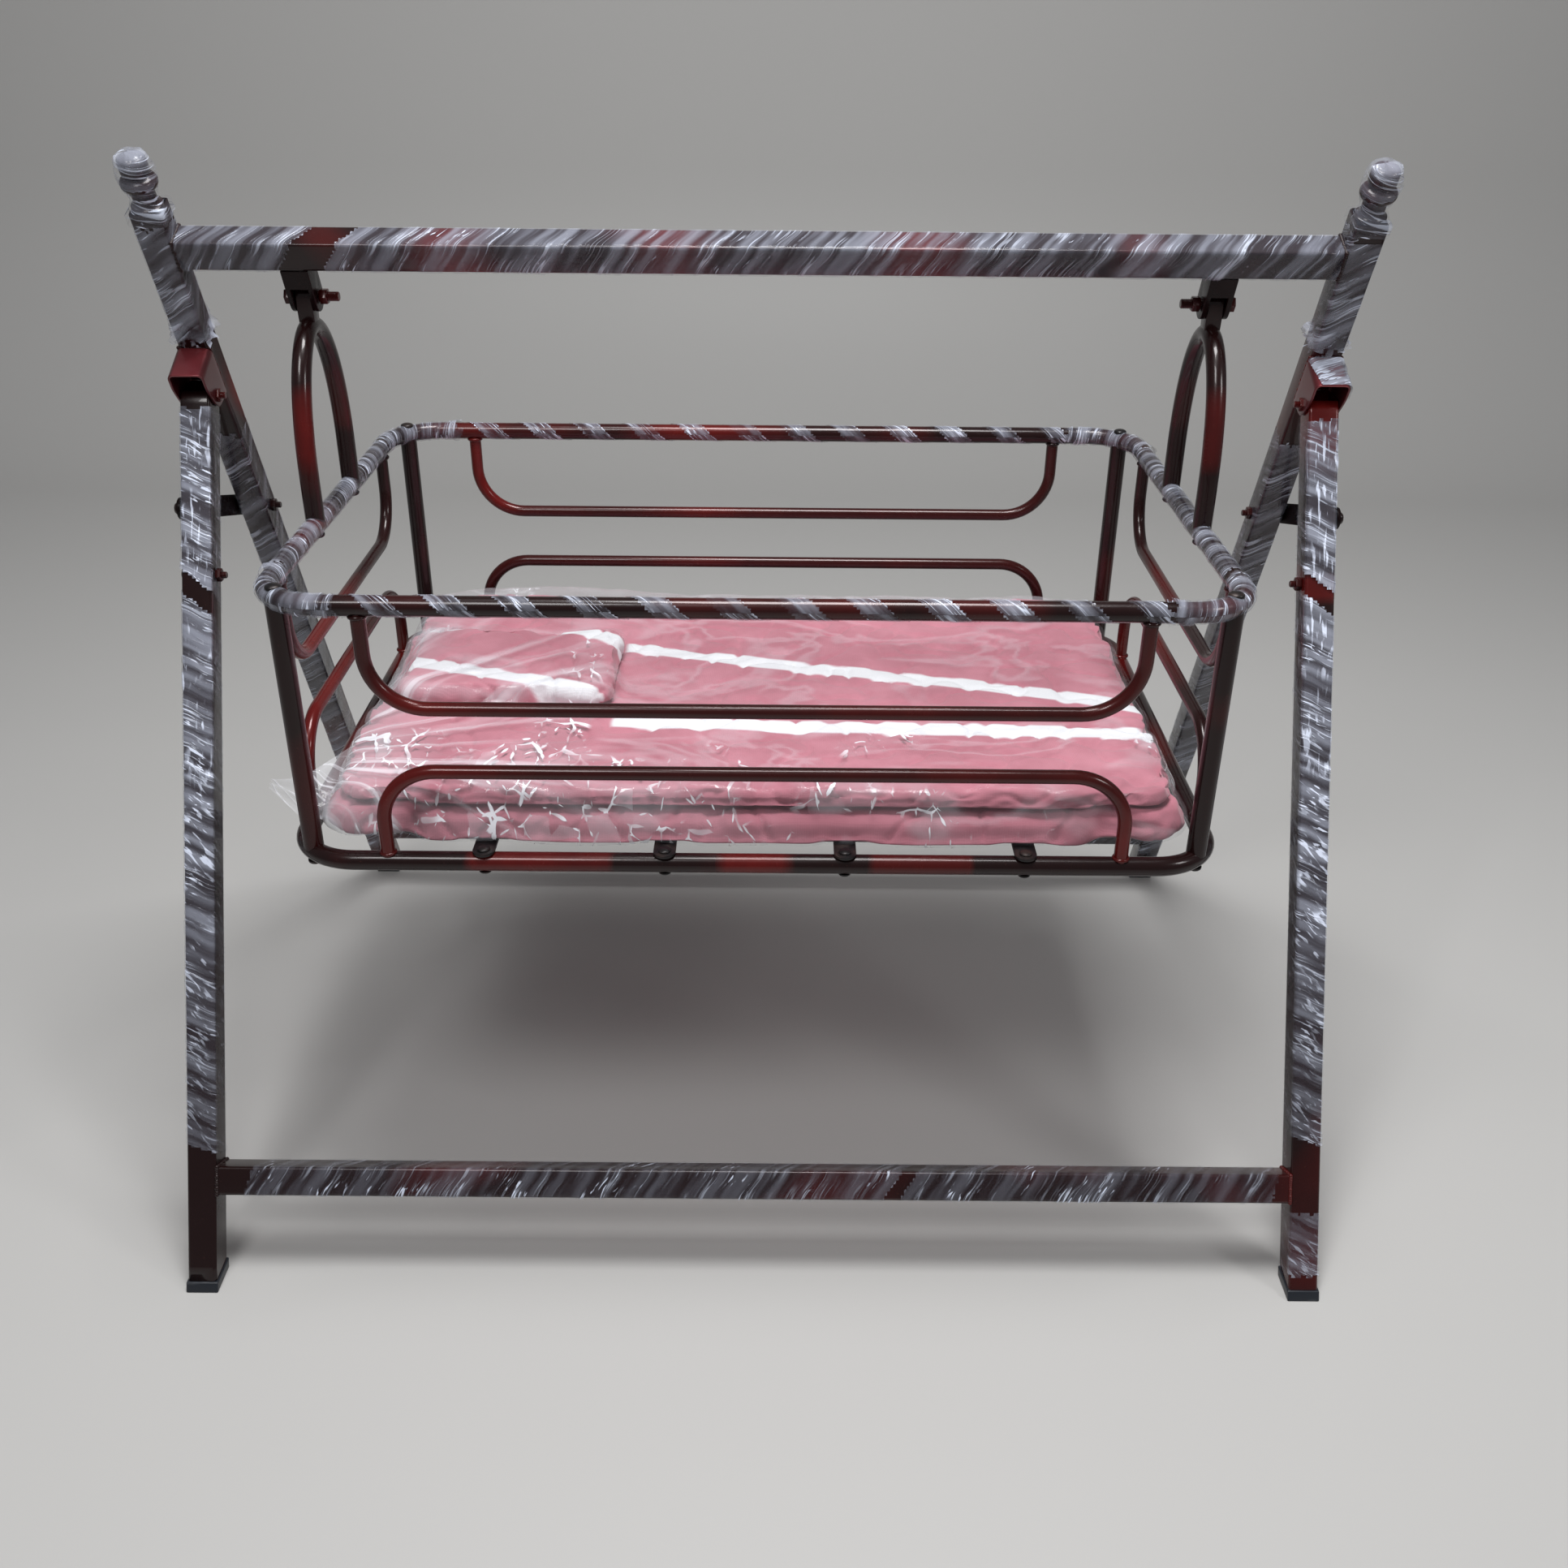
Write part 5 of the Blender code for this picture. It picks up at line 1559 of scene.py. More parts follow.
@dataclass
class Basket:
    """The railed basket: rings, posts, bent guard rods, hanger hoops and slats."""

    shop: Workshop
    half_x: float = 0.373
    half_y: float = 0.2405
    corner: float = 0.050
    rail: float = 0.008
    rod: float = 0.00575
    bead: float = 0.0017
    seat_share: float = 0.45
    top_z: float = 0.595969
    bottom_z: float = 0.376969
    side_half: float = 0.294
    end_half: float = 0.170
    upper_drop: float = 0.084
    lower_rise: float = 0.081
    bend: float = 0.045
    post_inset: float = 0.014645
    hoop_half: float = 0.0585
    hoop_drop: float = 0.024
    hoop_arch: float = 0.108
    tongue_half: float = 0.010
    tongue_thick: float = 0.013
    slat_half: float = 0.009
    slat_thick: float = 0.0025
    slat_x: tuple[float, ...] = (-0.2175, -0.0725, 0.0725, 0.2175)
    long_slat_y: tuple[float, ...] = (-0.145, 0.0, 0.145)
    red_runs: tuple[Pair, ...] = ((-0.233, -0.112), (-0.025, 0.031), (0.089, 0.178))

    def build(self) -> None:
        """Make every piece of the basket."""
        self.rings()
        self.rods()
        self.hoops()
        self.slats()
        self.heads()

    def corner_arc(self, sx: float, sy: float, z: float, steps: int = 14) -> list[Point]:
        """Axis of one ring corner, counter-clockwise.

        Args:
            sx: side along X.
            sy: side along Y.
            z: height.
            steps: parts of the arc.

        Returns:
            Points of the arc.
        """
        start = 90.0 * CORNERS.index((sx, sy))
        middle = (sx * (self.half_x - self.corner), PIVOT.y + sy * (self.half_y - self.corner))
        angles = [math.radians(start + 90.0 * i / steps) for i in range(steps + 1)]
        return [(middle[0] + self.corner * math.cos(a), middle[1] + self.corner * math.sin(a), z) for a in angles]

    def posts(self) -> list[tuple[str, float, float]]:
        """Name and place of each corner post."""
        x, y = self.half_x - self.post_inset, self.half_y - self.post_inset
        return [(row + "_" + side, sign * x, PIVOT.y + way * y)
                for row, way in (("front", -1.0), ("back", 1.0)) for side, sign in SIDES.items()]

    def rings(self) -> None:
        """Two bent rings and the posts between them."""
        for name, z in (("top_ring", self.top_z), ("bottom_ring", self.bottom_z)):
            arcs = [self.corner_arc(*key, z) for key in CORNERS]
            path = []
            for arc, after in zip(arcs, arcs[1:] + arcs[:1]):
                start, end = Vector(arc[-1]), Vector(after[0])
                path += arc + [tuple(start.lerp(end, i / 60)) for i in range(1, 60)]
            mesh = self.shop.rod(path, self.rail, True)
            self.shop.tint(mesh, self.rail_tint if name == "bottom_ring" else lambda p: -0.15)
            self.shop.piece(name + "_rail", mesh, PAINT, Body.BASKET, Slot.PAINT, [name], ROD_EDGE)
        sink = self.seat_share * self.rail
        for name, x, y in self.posts():
            steps = 24
            path = [(x, y, self.bottom_z + sink + (self.top_z - self.bottom_z - 2 * sink) * i / steps)
                    for i in range(steps + 1)]
            mesh = self.shop.tint(self.shop.rod(path, self.rail),
                                  lambda p: -0.30 - 0.5 * step(p.z, self.bottom_z + 0.09, self.top_z - 0.04))
            self.shop.piece(name + "_corner_post", mesh, PAINT, Body.BASKET, Slot.PAINT, [name + "_post"], ROD_EDGE)

    def rail_tint(self, place: Vector) -> float:
        """Red runs between dark ones along the front rail of the bottom ring.

        Args:
            place: a point of the ring.

        Returns:
            Shift of the paint's tone.
        """
        if place.y > PIVOT.y - self.half_y + 0.02:
            return -0.1
        red = max(step(place.x, a - 0.008, a + 0.008) * step(place.x, b + 0.008, b - 0.008) for a, b in self.red_runs)
        return 1.3 * red - 0.75

    def bent(self, half: float, height: float) -> Profile:
        """A U on its bar at height 0, with its legs up to a height."""
        right = [(half - self.bend + self.bend * math.sin(a), self.bend - self.bend * math.cos(a))
                 for a in angles(math.pi / 2, 14)] + [(half, height)]
        return [(-u, v) for u, v in reversed(right)] + right

    def rods(self) -> None:
        """Guard rods bent to a U, welded to the rings with a bead round each end."""
        sides: dict[str, tuple[float, Callable[[float], Pair]]] = {
            "front": (self.side_half, lambda u: (u, PIVOT.y - self.half_y)),
            "back": (self.side_half, lambda u: (u, PIVOT.y + self.half_y)),
            "left": (self.end_half, lambda u: (-self.half_x, PIVOT.y + u)),
            "right": (self.end_half, lambda u: (self.half_x, PIVOT.y + u)),
        }
        seat = 0.55 * self.rail
        feet = []
        for name, (half, plan) in sides.items():
            runs = (("_upper_rod", self.top_z - self.upper_drop, 1.0, self.upper_drop, self.top_z - self.rail),
                    ("_lower_rod", self.bottom_z + self.lower_rise, -1.0, self.lower_rise,
                     self.bottom_z + self.rail))
            for tail, bar, way, reach, rim in runs:
                path = [(*plan(u), bar + way * v) for u, v in self.bent(half, reach - seat)]
                shift = 0.25 if name in ("front", "back") else 0.05
                mesh = self.shop.tint(self.shop.rod(path, self.rod), lambda p: shift)
                self.shop.piece(name + tail[:-4] + "_guard", mesh, PAINT, Body.BASKET, Slot.PAINT, [name + tail],
                                ROD_EDGE)
                feet += [(*plan(u), rim) for u in (-half, half)]
        ring = self.shop.rod([(self.rod * math.cos(a), self.rod * math.sin(a), 0.0)
                              for a in angles(2 * math.pi, 20)[:-1]], self.bead, True)
        mesh = Spots(1.0, 0.05).mesh(self.shop, ring, feet, PAINT)
        self.shop.piece("guard_weld_beads", mesh, None, Body.BASKET, Slot.PAINT, (), BEAD_EDGE)

    def hoops(self) -> None:
        """Hanger hoops with the tongue that turns in the clevis."""
        base, spring = self.top_z + self.seat_share * self.rail, PIVOT.z - self.hoop_drop - self.hoop_arch
        for side, sign in SIDES.items():
            x = sign * self.half_x
            arch = [(x, PIVOT.y - self.hoop_half * math.cos(a), spring + self.hoop_arch * math.sin(a))
                    for a in angles(math.pi, 56)]
            path = [(x, PIVOT.y - self.hoop_half, base), *arch, (x, PIVOT.y + self.hoop_half, base)]
            mesh = self.shop.merged([self.shop.rod(path, self.rail), self.tongue(x)])
            crown = spring + self.hoop_arch
            self.shop.tint(mesh, lambda p: 0.12 - step(p.z, crown - 0.055, crown - 0.005)
                           - 0.9 * step(p.z, base + 0.062, base + 0.020))
            self.shop.piece(side + "_hanger_hoop", mesh, PAINT, Body.BASKET, Slot.PAINT, [side + "_hanger"], HOOP_EDGE)

    def tongue(self, x: float) -> Mesh:
        """The pivot plate on a hoop: a round eye over a waist, with eased edges.

        Args:
            x: middle of the plate.

        Returns:
            The plate's mesh.
        """
        outline = [(self.tongue_half * math.cos(a), self.tongue_half * math.sin(a)) for a in angles(math.pi, 24)]
        outline += [(-0.7 * self.tongue_half, -self.hoop_drop), (0.7 * self.tongue_half, -self.hoop_drop)]
        places = [(x - self.tongue_thick / 2, PIVOT.y + u, PIVOT.z + v) for u, v in outline]
        return self.shop.plate(places, (self.tongue_thick, 0.0, 0.0), 0.0010, 3)

    def strip(self, start: Point, end: Point, round_ends: bool) -> Mesh:
        """A flat steel strip with eased edges, centred on a line at one height.

        Args:
            start: one end of the middle line.
            end: its other end.
            round_ends: whether the ends are round.

        Returns:
            The strip's mesh.
        """
        low, high = Vector(start), Vector(end)
        along = (high - low).normalized()
        across = Vector((-along.y, along.x, 0.0)) * self.slat_half
        if round_ends:
            outline = [middle + way * (along * (self.slat_half * math.sin(a)) - across * math.cos(a))
                       for middle, way in ((high, 1.0), (low, -1.0)) for a in angles(math.pi, 12)]
        else:
            outline = [high - across, high + across, low + across, low - across]
        places = [place - Vector((0, 0, self.slat_thick / 2)) for place in outline]
        return self.shop.plate(places, (0.0, 0.0, self.slat_thick), 0.0005, 2)

    def slats(self) -> None:
        """Cross slats on the long rails and long slats between the end rails."""
        for index, x in enumerate(self.slat_x):
            node = "cross_slat_%d" % (index + 1)
            z = self.bottom_z + self.rail + SEAT_GAP + self.slat_thick / 2
            mesh = self.strip((x, PIVOT.y - self.half_y, z), (x, PIVOT.y + self.half_y, z), True)
            self.shop.piece(node + "_strip", mesh, BLACK, Body.BASKET, Slot.BOLT, [node])
        end = self.half_x - 0.7 * self.rail
        for name, y in zip(("front", "middle", "back"), self.long_slat_y):
            mesh = self.strip((-end, PIVOT.y + y, self.bottom_z), (end, PIVOT.y + y, self.bottom_z), False)
            self.shop.piece(name + "_long_strip", mesh, BLACK, Body.BASKET, Slot.BOLT, [name + "_long_slat"])

    def heads(self) -> None:
        """Domed heads over and under the rings: corner bolts, hoop nuts and slat rivets."""
        lift, sink = self.rail + 0.0002, 0.0006
        corners = [(x, y) for _, x, y in self.posts()]
        feet = [(sign * self.half_x, PIVOT.y + way * self.hoop_half) for sign in SIDES.values() for way in (-1, 1)]
        rivets = [(x, PIVOT.y + way * self.half_y) for x in self.slat_x for way in (-1, 1)]
        slat_top = self.bottom_z + self.rail + SEAT_GAP + self.slat_thick
        bolt, rivet = (0.0062, 0.0036), (0.0052, 0.0026)
        rows = (("corner_bolt_heads", bolt, 1, [(*p, self.top_z + lift - sink) for p in corners],
                 [name + "_tie_bolt" for name, _, _ in self.posts()]),
                ("corner_bolt_nuts", bolt, -1, [(*p, self.bottom_z - lift + sink) for p in corners], []),
                ("hoop_nuts", bolt, -1, [(*p, self.top_z - lift + sink) for p in feet], []),
                ("slat_rivet_tops", rivet, 1, [(*p, slat_top) for p in rivets], []),
                ("slat_rivet_tails", rivet, -1, [(*p, self.bottom_z - lift + sink) for p in rivets], []))
        for name, (head, height), way, places, nodes in rows:
            turn = Matrix.Identity(4) if way > 0 else Matrix.Rotation(math.pi, 4, "X")
            shape = self.shop.turned(dome(head, height) + [(0.0, 0.0)], turn, 24)
            mesh = Spots().mesh(self.shop, shape, places, BLACK)
            self.shop.piece(name, mesh, None, Body.BASKET, Slot.BOLT, nodes)

    def wrap(self) -> None:
        """Film on the top ring: strips on the long rails, full cover on the corners and ends."""
        z, inner_x, inner_y = self.top_z, self.half_x - self.corner, self.half_y - self.corner
        round_tube = {"half": self.rail, "squareness": 2.0, "sides": 32}
        rail = FilmWrap(**round_tube, pitch=0.052, cover=0.46, crinkle=0.0004, step=0.0003, hand=-1.0,
                        seed=41)
        ends = FilmWrap(**round_tube, pitch=0.017, crinkle=0.0005, seed=45)
        bend = FilmWrap(**round_tube, pitch=0.0085, crinkle=0.0010, lift=0.0009, flare=0.003, seed=49, spacing=0.0015)
        meshes = []
        for way in (-1.0, 1.0):
            y = PIVOT.y + way * self.half_y
            meshes.append(rail.wind(self.shop, [(-inner_x + 0.01, y, z), (inner_x - 0.01, y, z)], RING_FILM))
        for sign in (-1.0, 1.0):
            x = sign * self.half_x
            path = [(x, PIVOT.y - inner_y + 0.015, z), (x, PIVOT.y + inner_y - 0.015, z)]
            meshes.append(ends.wind(self.shop, path, RING_FILM))
        past = 0.022
        for key in CORNERS:
            arc = self.corner_arc(*key, z)
            first, last = Vector(arc[0]), Vector(arc[-1])
            before = first - (Vector(arc[1]) - first).normalized() * past
            after = last + (last - Vector(arc[-2])).normalized() * past
            meshes.append(bend.wind(self.shop, [tuple(before), *arc, tuple(after)], RING_FILM))
        self.shop.film("top_ring_film", meshes, Body.BASKET, RING_FILM)


@dataclass
class Bedding:
    """Mattress, folded quilt and pillow, puffed by cloth simulation, in a clear bag."""

    shop: Workshop
    basket: Basket
    voxel: float = 0.0055
    frames: int = 20
    pressure: float = 4.0
    corner: float = 0.030
    edge_band: Pair = (0.84, 0.99)
    edge_middle: Pair = (0.283, 0.262)
    edge_corner: Pair = (0.303, 0.318)
    end_band: Pair = (0.90, 0.995)
    end_middle: Pair = (0.158, 0.140)
    end_corner: Pair = (0.182, 0.196)
    slat_band: Pair = (0.030, 0.014)
    sag_band: Pair = (0.93, 1.0)
    sag: float = 0.0042
    dent: float = 0.0016
    crease: float = 0.0030
    crease_low: float = 0.86
    bag_gap: float = 0.0045
    bag_clear: float = 0.0010
    rod_span: Pair = (0.384, 0.600)
    cloth: ClassVar[dict[str, Any]] = {
        "quality": 4, "mass": 0.2, "tension_stiffness": 12.0, "compression_stiffness": 12.0, "shear_stiffness": 4.0,
        "bending_stiffness": 0.4, "use_pressure": True, "vertex_group_mass": "base",
    }

    @staticmethod
    def modifier(item: bpy.types.Object, kind: str, **settings: Any) -> None:
        """Add a modifier with its settings."""
        modifier = item.modifiers.new(kind.lower(), kind)
        for name, value in settings.items():
            setattr(modifier, name, value)

    def build(self) -> None:
        """Make the padded pieces and the bag over them."""
        rows = (("mattress", "mattress_pad", CLOTH, 0.006, -0.03, 0.0115, 0.75),
                ("folded_quilt", "quilt_fold", QUILT_CLOTH, 0.006, -0.05, 0.0085, 0.55),
                ("pillow", "pillow_pad", PILLOW_CLOTH, 0.008, -0.04, 0.0, 0.70))
        meshes = []
        for node, name, cloth, cap, grow, swell, fill in rows:
            mesh = self.puff(node, cap, grow)
            self.bulge(mesh, node, swell)
            self.rumple(mesh, node)
            item = self.shop.piece(name, mesh, cloth, Body.BASKET, Slot.CLOTH, [node], NO_EDGE)
            meshes.append(mesh)
        self.bag(meshes)

    def rods(self) -> list[tuple[float, float, float]]:
        """Place and radius of every upright rod that the bedding leans on.

        Returns:
            X, Y and radius of each rod.
        """
        frame = self.basket
        fronts = [(x, PIVOT.y + y, frame.rod) for x in (-frame.side_half, frame.side_half)
                  for y in (-frame.half_y, frame.half_y)]
        ends = [(x, PIVOT.y + y, frame.rod) for x in (-frame.half_x, frame.half_x)
                for y in (-frame.end_half, frame.end_half)]
        return fronts + ends + [(x, y, frame.rail) for _, x, y in frame.posts()]

    def bulge(self, mesh: Mesh, node: str, swell: float) -> None:
        """Let a pad's long sides swell over the rails between the rods, and sag there clear of the slats.

        Args:
            mesh: the pad.
            node: its node.
            swell: how far it stands out.
        """
        if not swell:
            return
        low, high = (Vector(corner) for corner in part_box(node))
        middle, size = (low + high) / 2, high - low
        for vert in mesh.vertices:
            place = vert.co
            across = (place.y - middle.y) / (size.y / 2)
            edge = step(abs(across), *self.edge_band)
            free = step(abs(place.x), *self.edge_middle) + 0.45 * step(abs(place.x), *self.edge_corner)
            ruck = 1.0 + 0.25 * noise.noise(Vector((place.x * 16.0, place.z * 12.0, across)))
            slat = max(step(abs(place.x - x), *self.slat_band) for x in self.basket.slat_x)
            sag = self.sag * (1.0 - slat) * step(place.z, low.z + 0.9 * size.z, low.z + 0.3 * size.z)
            vert.co.y += math.copysign(swell * edge * free * ruck, across)
            if node == "mattress":
                vert.co.z -= sag * step(abs(across), *self.sag_band) * min(1.0, free)
            ending = (place.x - middle.x) / (size.x / 2)
            apart = abs(place.y - PIVOT.y)
            between = step(apart, *self.end_middle) + 0.5 * step(apart, *self.end_corner)
            vert.co.x += math.copysign(swell * step(abs(ending), *self.end_band) * between, ending)

    def remeshed(self, mesh: Mesh, voxel: float) -> Mesh:
        """Give a closed mesh even faces."""
        item = linked("remesh", mesh)
        self.modifier(item, "REMESH", mode="VOXEL", voxel_size=voxel, use_smooth_shade=True)
        return self.shop.evaluated(item)

    def puff(self, node: str, cap: float, grow: float) -> Mesh:
        """Blow a pad up from a slightly smaller copy of its node.

        Args:
            node: the pad's node.
            cap: the furthest that a point may move.
            grow: how much the cloth is larger than its pad, as a negative shrink.

        Returns:
            The pad's mesh, inside its node's space.
        """
        low, high = (Vector(corner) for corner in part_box(node))
        size = high - low
        mesh = self.remeshed(self.cage(low, high, 0.45 * cap, min(self.corner, 0.15 * size.y)), self.voxel)
        start = np.empty(3 * len(mesh.vertices))
        mesh.vertices.foreach_get("co", start)
        moved = self.simulate(mesh, low.z, size.z, grow)
        start, moved = start.reshape(-1, 3), moved.reshape(-1, 3)
        shift = moved - start
        length = np.linalg.norm(shift, axis=1, keepdims=True)
        moved = start + shift * np.minimum(1.0, cap / np.maximum(length, 1e-9))
        moved[:, 2] = np.clip(moved[:, 2], low.z, high.z)
        mesh.vertices.foreach_set("co", moved.ravel())
        return mesh

    @staticmethod
    def cage(low: Vector, high: Vector, inset: float, corner: float) -> Mesh:
        """A block with round corners and full round sides, a little inside a box.

        Args:
            low: lowest corner of the box.
            high: highest corner.
            inset: distance inside the box.
            corner: radius of the upright corners.

        Returns:
            The block's mesh.
        """
        size, middle = high - low, (low + high) / 2
        size = Vector((size.x - 2 * inset, size.y - 2 * inset, size.z - 0.5 * inset))
        work = bmesh.new()
        bmesh.ops.create_cube(work, size=1.0)
        bmesh.ops.scale(work, vec=size, verts=work.verts)
        posts = [edge for edge in work.edges if abs(edge.verts[0].co.z - edge.verts[1].co.z) > 0.5 * size.z]
        bmesh.ops.bevel(work, geom=posts, offset=corner, segments=8, profile=0.5, affect="EDGES")
        rims = [edge for edge in work.edges if abs(edge.verts[0].co.z - edge.verts[1].co.z) < 1e-6]
        bmesh.ops.bevel(work, geom=rims, offset=0.42 * size.z, segments=4, profile=0.5, affect="EDGES")
        bmesh.ops.translate(work, vec=(middle.x, middle.y, low.z + size.z / 2), verts=work.verts)
        return made("cage", work)

    def simulate(self, mesh: Mesh, floor: float, height: float, grow: float) -> np.ndarray:
        """Run the cloth and return the points that it ends with.

        Args:
            mesh: the cloth, which stays as it is.
            floor: height of its underside.
            height: height of the pad.
            grow: how much the cloth is larger than its pad, as a negative shrink.

        Returns:
            Coordinates of the points in one row.
        """
        item, scene = linked("puff", mesh.copy()), bpy.context.scene
        base = item.vertex_groups.new(name="base")
        base.add([v.index for v in item.data.vertices if v.co.z < floor + 0.15 * height], 1.0, "REPLACE")
        cloth = item.modifiers.new("cloth", "CLOTH")
        settings = cloth.settings
        for name, value in {**self.cloth, "uniform_pressure_force": self.pressure, "shrink_min": grow}.items():
            setattr(settings, name, value)
        settings.effector_weights.gravity = 0.0
        cloth.point_cache.frame_start, cloth.point_cache.frame_end = 1, self.frames
        for frame in range(1, self.frames + 1):
            scene.frame_set(frame)
        result = self.shop.evaluated(item)
        scene.frame_set(1)
        points = np.empty(3 * len(result.vertices))
        result.vertices.foreach_get("co", points)
        return points

    def rumple(self, mesh: Mesh, node: str) -> None:
        """Subdivide a pad and press soft creases into it.

        Args:
            mesh: the pad to change.
            node: its node.
        """
        item = linked("rumple", mesh.copy())
        self.modifier(item, "SUBSURF", levels=1, render_levels=1)
        fine = self.shop.evaluated(item)
        low, high = (Vector(corner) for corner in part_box(node))
        normals = [vert.normal.copy() for vert in fine.vertices]
        for vert, normal in zip(fine.vertices, normals):
            place = vert.co
            broad = noise.noise(Vector((place.x * 13.0, place.y * 17.0, place.z * 9.0 + len(node))))
            crease = 1.0 - abs(noise.noise(Vector((place.x * 30.0, place.y * 34.0, place.z * 26.0 + 3.0))))
            depth = self.dent * (0.5 - 0.5 * broad)
            depth += self.crease * max(0.0, crease - self.crease_low) / (1.0 - self.crease_low)
            rising = min(1.0, max(0.0, (place.z - low.z) / (0.25 * (high.z - low.z))))
            vert.co = place - normal * depth * rising
        work = bmesh.new()
        work.from_mesh(fine)
        work.to_mesh(mesh)
        work.free()

    def bag(self, meshes: list[Mesh]) -> None:
        """A clear bag drawn over the bedding, pulled out at the left between a post and a rod.

        Args:
            meshes: the padded pieces.
        """
        item = linked("bag_form", self.shop.merged(meshes))
        self.modifier(item, "DISPLACE", strength=self.bag_gap, mid_level=0.0)
        self.modifier(item, "REMESH", mode="VOXEL", voxel_size=self.voxel)
        self.modifier(item, "SMOOTH", factor=0.5, iterations=8)
        self.modifier(item, "SUBSURF", levels=1, render_levels=1)
        mesh = self.shop.evaluated(item)
        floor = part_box("mattress")[0][2] + 0.0004
        work = bmesh.new()
        work.from_mesh(mesh)
        under = [face for face in work.faces if face.calc_center_median().z < floor + 0.006 and face.normal.z < -0.4]
        bmesh.ops.delete(work, geom=under, context="FACES")
        work.normal_update()
        loose = work.verts.layers.float.new(ClearBag.loose)
        glint_zone = work.verts.layers.float.new(ClearBag.glint_zone)
        rods = self.rods()
        ridge_lift, fine_lift, hump_lift, hump_x, hump_wide = 0.0020, 0.0008, 0.010, -0.21, 0.10
        for vert in work.verts:
            place, normal = vert.co.copy(), vert.normal.copy()
            ridge = 1.0 - abs(noise.noise(Vector((place.x * 24.0, place.y * 20.0, place.z * 24.0))) * 2.0)
            fine = noise.noise(Vector((place.x * 62.0, place.y * 58.0, place.z * 62.0)))
            side = 1.0 - min(1.0, abs(normal.z) / 0.75)
            hump = math.exp(-((place.x - hump_x) / hump_wide) ** 2)
            hump *= step(place.y, 0.05, 0.12) * step(place.y, 0.21, 0.17)
            lift = ridge_lift * max(0.0, ridge) * (0.35 + 0.65 * side) + fine_lift * fine + hump_lift * hump
            vert.co = self.clear(place + normal * lift, rods)
            vert.co.z = max(vert.co.z, floor if abs(normal.z) > 0.5 else place.z)
            vert[loose] = max(step(place.x, -0.26, -0.35), 0.8 * step(place.y, 0.11, 0.20))
            # painted highlights: marks where the bag's glints gather, at the front and on its sides
            vert[glint_zone] = step(place.y, -0.09, -0.20) * (1.0 - 0.6 * step(place.x, 0.12, 0.26)) + 0.3 * side
        self.flap(work, loose)
        work.to_mesh(mesh)
        work.free()
        item = self.shop.piece("bedding_bag", mesh, BAG, Body.BASKET, None, (), NO_EDGE)

    def clear(self, place: Vector, rods: list[tuple[float, float, float]]) -> Vector:
        """Move a point of the bag off the upright rods.

        Args:
            place: the point.
            rods: X, Y and radius of each rod.

        Returns:
            The point, or a place just off a rod.
        """
        low, high = self.rod_span
        for x, y, radius in rods:
            gap = Vector((place.x - x, place.y - y))
            least = radius + self.bag_clear
            if gap.length < least and low < place.z < high:
                gap = gap.normalized() * least
                place = Vector((x + gap.x, y + gap.y, place.z))
        return place

    def flap(self, work: bmesh.types.BMesh, loose: bmesh.types.BMLayerItem) -> None:
        """Add the bag's gathered mouth.

        Args:
            work: the bag.
            loose: layer of the loose share.
        """
        stations = ((-0.338, (-0.240, -0.135), (0.397, 0.426)), (-0.373, (-0.2325, -0.2035), (0.400, 0.423)),
                    (-0.403, (-0.206, -0.196), (0.411, 0.415)))
        across, along, pleat_height, loose_share = 24, 12, 0.0016, 0.6
        grid = []
        for (x0, y0, z0), (x1, y1, z1) in zip(stations, stations[1:]):
            for i in range(along + (x1 == stations[-1][0])):
                share = i / along
                row = []
                for j in range(across + 1):
                    spread = j / across
                    start = Vector((x0, y0[0] + (y0[1] - y0[0]) * spread, z0[0] + (z0[1] - z0[0]) * spread))
                    end = Vector((x1, y1[0] + (y1[1] - y1[0]) * spread, z1[0] + (z1[1] - z1[0]) * spread))
                    pleat = pleat_height * math.sin(5.0 * math.pi * spread + 1.3)
                    vert = work.verts.new(start.lerp(end, share) + Vector((0.0, 0.0, pleat)))
                    vert[loose] = loose_share
                    row.append(vert)
                grid.append(row)
        for low, high in zip(grid, grid[1:]):
            for a, b, c, d in zip(low, low[1:], high[1:], high):
                work.faces.new((a, d, c, b))
        work.normal_update()


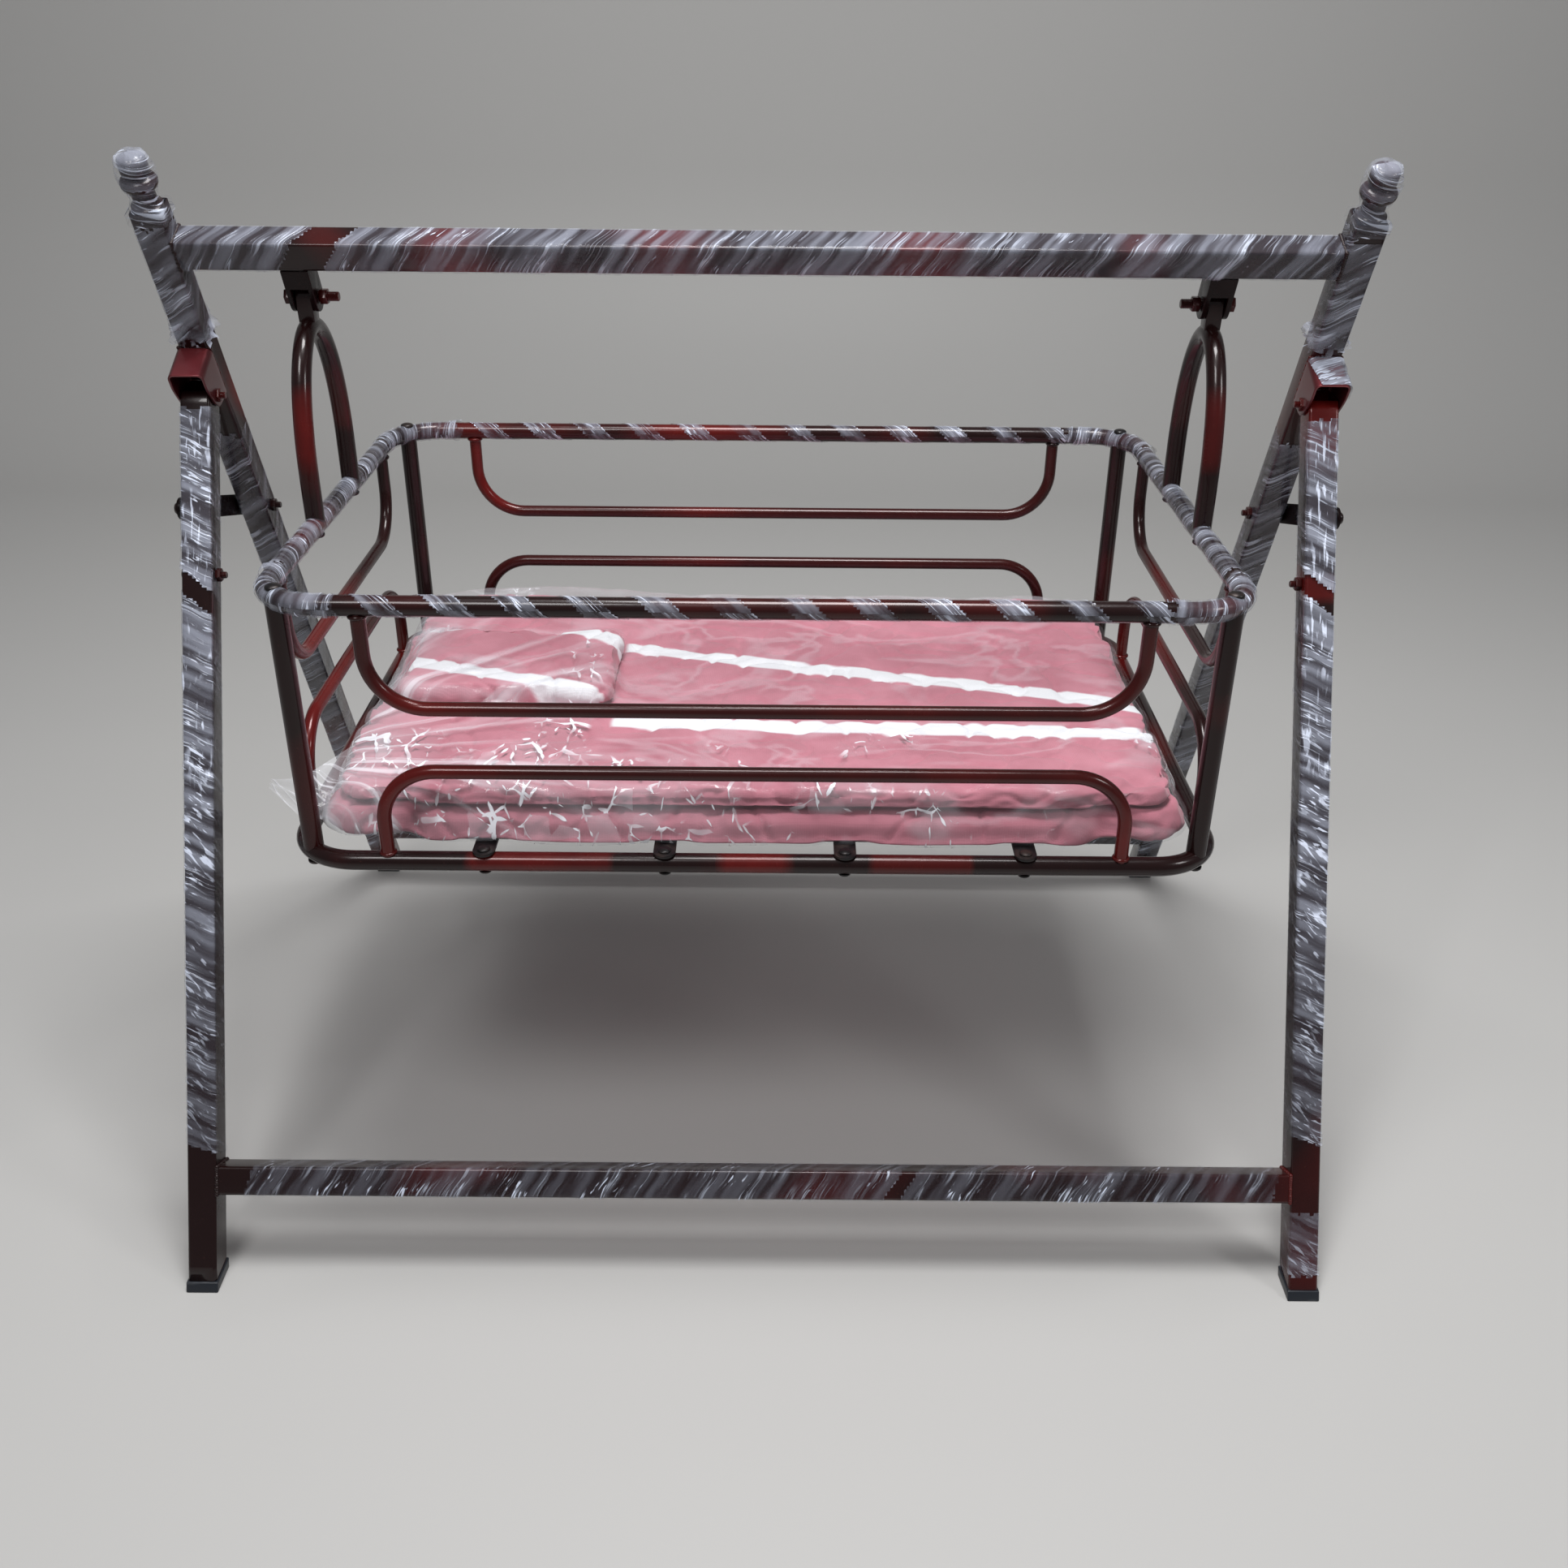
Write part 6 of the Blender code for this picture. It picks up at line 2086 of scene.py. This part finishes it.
@dataclass
class Studio:
    """Camera, floor and soft light."""

    shop: Workshop
    focal_pixels: float = 1876.0
    picture: float = 1932.0
    sensor: float = 36.0
    stand_at: Point = (0.0215, -1.313, 1.0134)
    pitch: float = 28.216
    yaw: float = 0.081
    roll: float = -0.514

    def build(self) -> None:
        """Set the studio up round the object."""
        self.camera()
        self.floor()
        self.lights()
        bpy.context.scene.view_settings.view_transform = "Standard"

    def camera(self) -> None:
        """Camera at the photograph's place."""
        data = bpy.data.cameras.new("camera")
        data.sensor_width = self.sensor
        data.lens = self.sensor * self.focal_pixels / self.picture
        data.clip_start, data.clip_end = 0.01, 50.0
        item = linked("camera", data)
        turn = Matrix.Rotation(math.radians(-self.yaw), 4, "Z")
        tip = Matrix.Rotation(math.pi / 2 - math.radians(self.pitch), 4, "X")
        level = Matrix.Rotation(math.radians(-self.roll), 4, "Z")
        item.matrix_world = Matrix.Translation(self.stand_at) @ turn @ tip @ level
        bpy.context.scene.camera = item

    def floor(self) -> None:
        """A pale floor that sweeps up to a backdrop far behind."""
        back, radius, top, half, drop = 1.9, 0.6, 3.2, 4.5, 0.0002
        section = [(-half, 0.0), (back, 0.0)]
        section += [(back + radius * math.sin(a), radius - radius * math.cos(a))
                    for a in angles(math.pi / 2, 12)[1:]] + [(back + radius, top)]
        verts = [(x, y, z - drop) for y, z in section for x in (-half, half)]
        faces = [(2 * i, 2 * i + 1, 2 * i + 3, 2 * i + 2) for i in range(len(section) - 1)]
        mesh = bpy.data.meshes.new("studio_floor")
        mesh.from_pydata(verts, [], faces)
        mesh.materials.append(self.shop.finish(FLOOR))
        mesh.shade_smooth()
        item = linked("studio_floor", mesh)

    def lights(self) -> None:
        """Soft panels overhead and in front, over an even world."""
        rows = (("ceiling_panel", (0.10, -0.25, 2.6), (0.0, 0.0, 0.0), 0.8, 50.0),
                ("front_panel", (-0.8, -1.8, 2.9), (0.0, 0.0, 0.4), 0.8, 30.0),
                ("side_panel", (1.9, -1.1, 1.8), (0.0, 0.0, 0.4), 0.5, 10.0))
        for name, place, aim, size, power in rows:
            data = bpy.data.lights.new(name, "AREA")
            data.shape, data.size, data.energy = "SQUARE", size, power
            item = linked(name, data)
            item.location = place
            item.rotation_euler = (Vector(aim) - Vector(place)).to_track_quat("-Z", "Y").to_euler()
        world = bpy.data.worlds.new("studio_world")
        world.use_nodes = True
        sockets = world.node_tree.nodes["Background"].inputs
        sockets["Color"].default_value, sockets["Strength"].default_value = (0.96, 0.97, 1.0, 1.0), 0.20
        bpy.context.scene.world = world


def main() -> None:
    """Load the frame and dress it."""
    logging.basicConfig(level=logging.INFO, format="%(name)s %(message)s")
    FRAME.update(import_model())
    shop = Workshop()
    Studio(shop).build()
    stand, basket = Stand(shop), Basket(shop)
    stand.build()
    basket.build()
    Bedding(shop, basket).build()
    stand.wrap()
    basket.wrap()


if __name__ == "__main__":
    main()
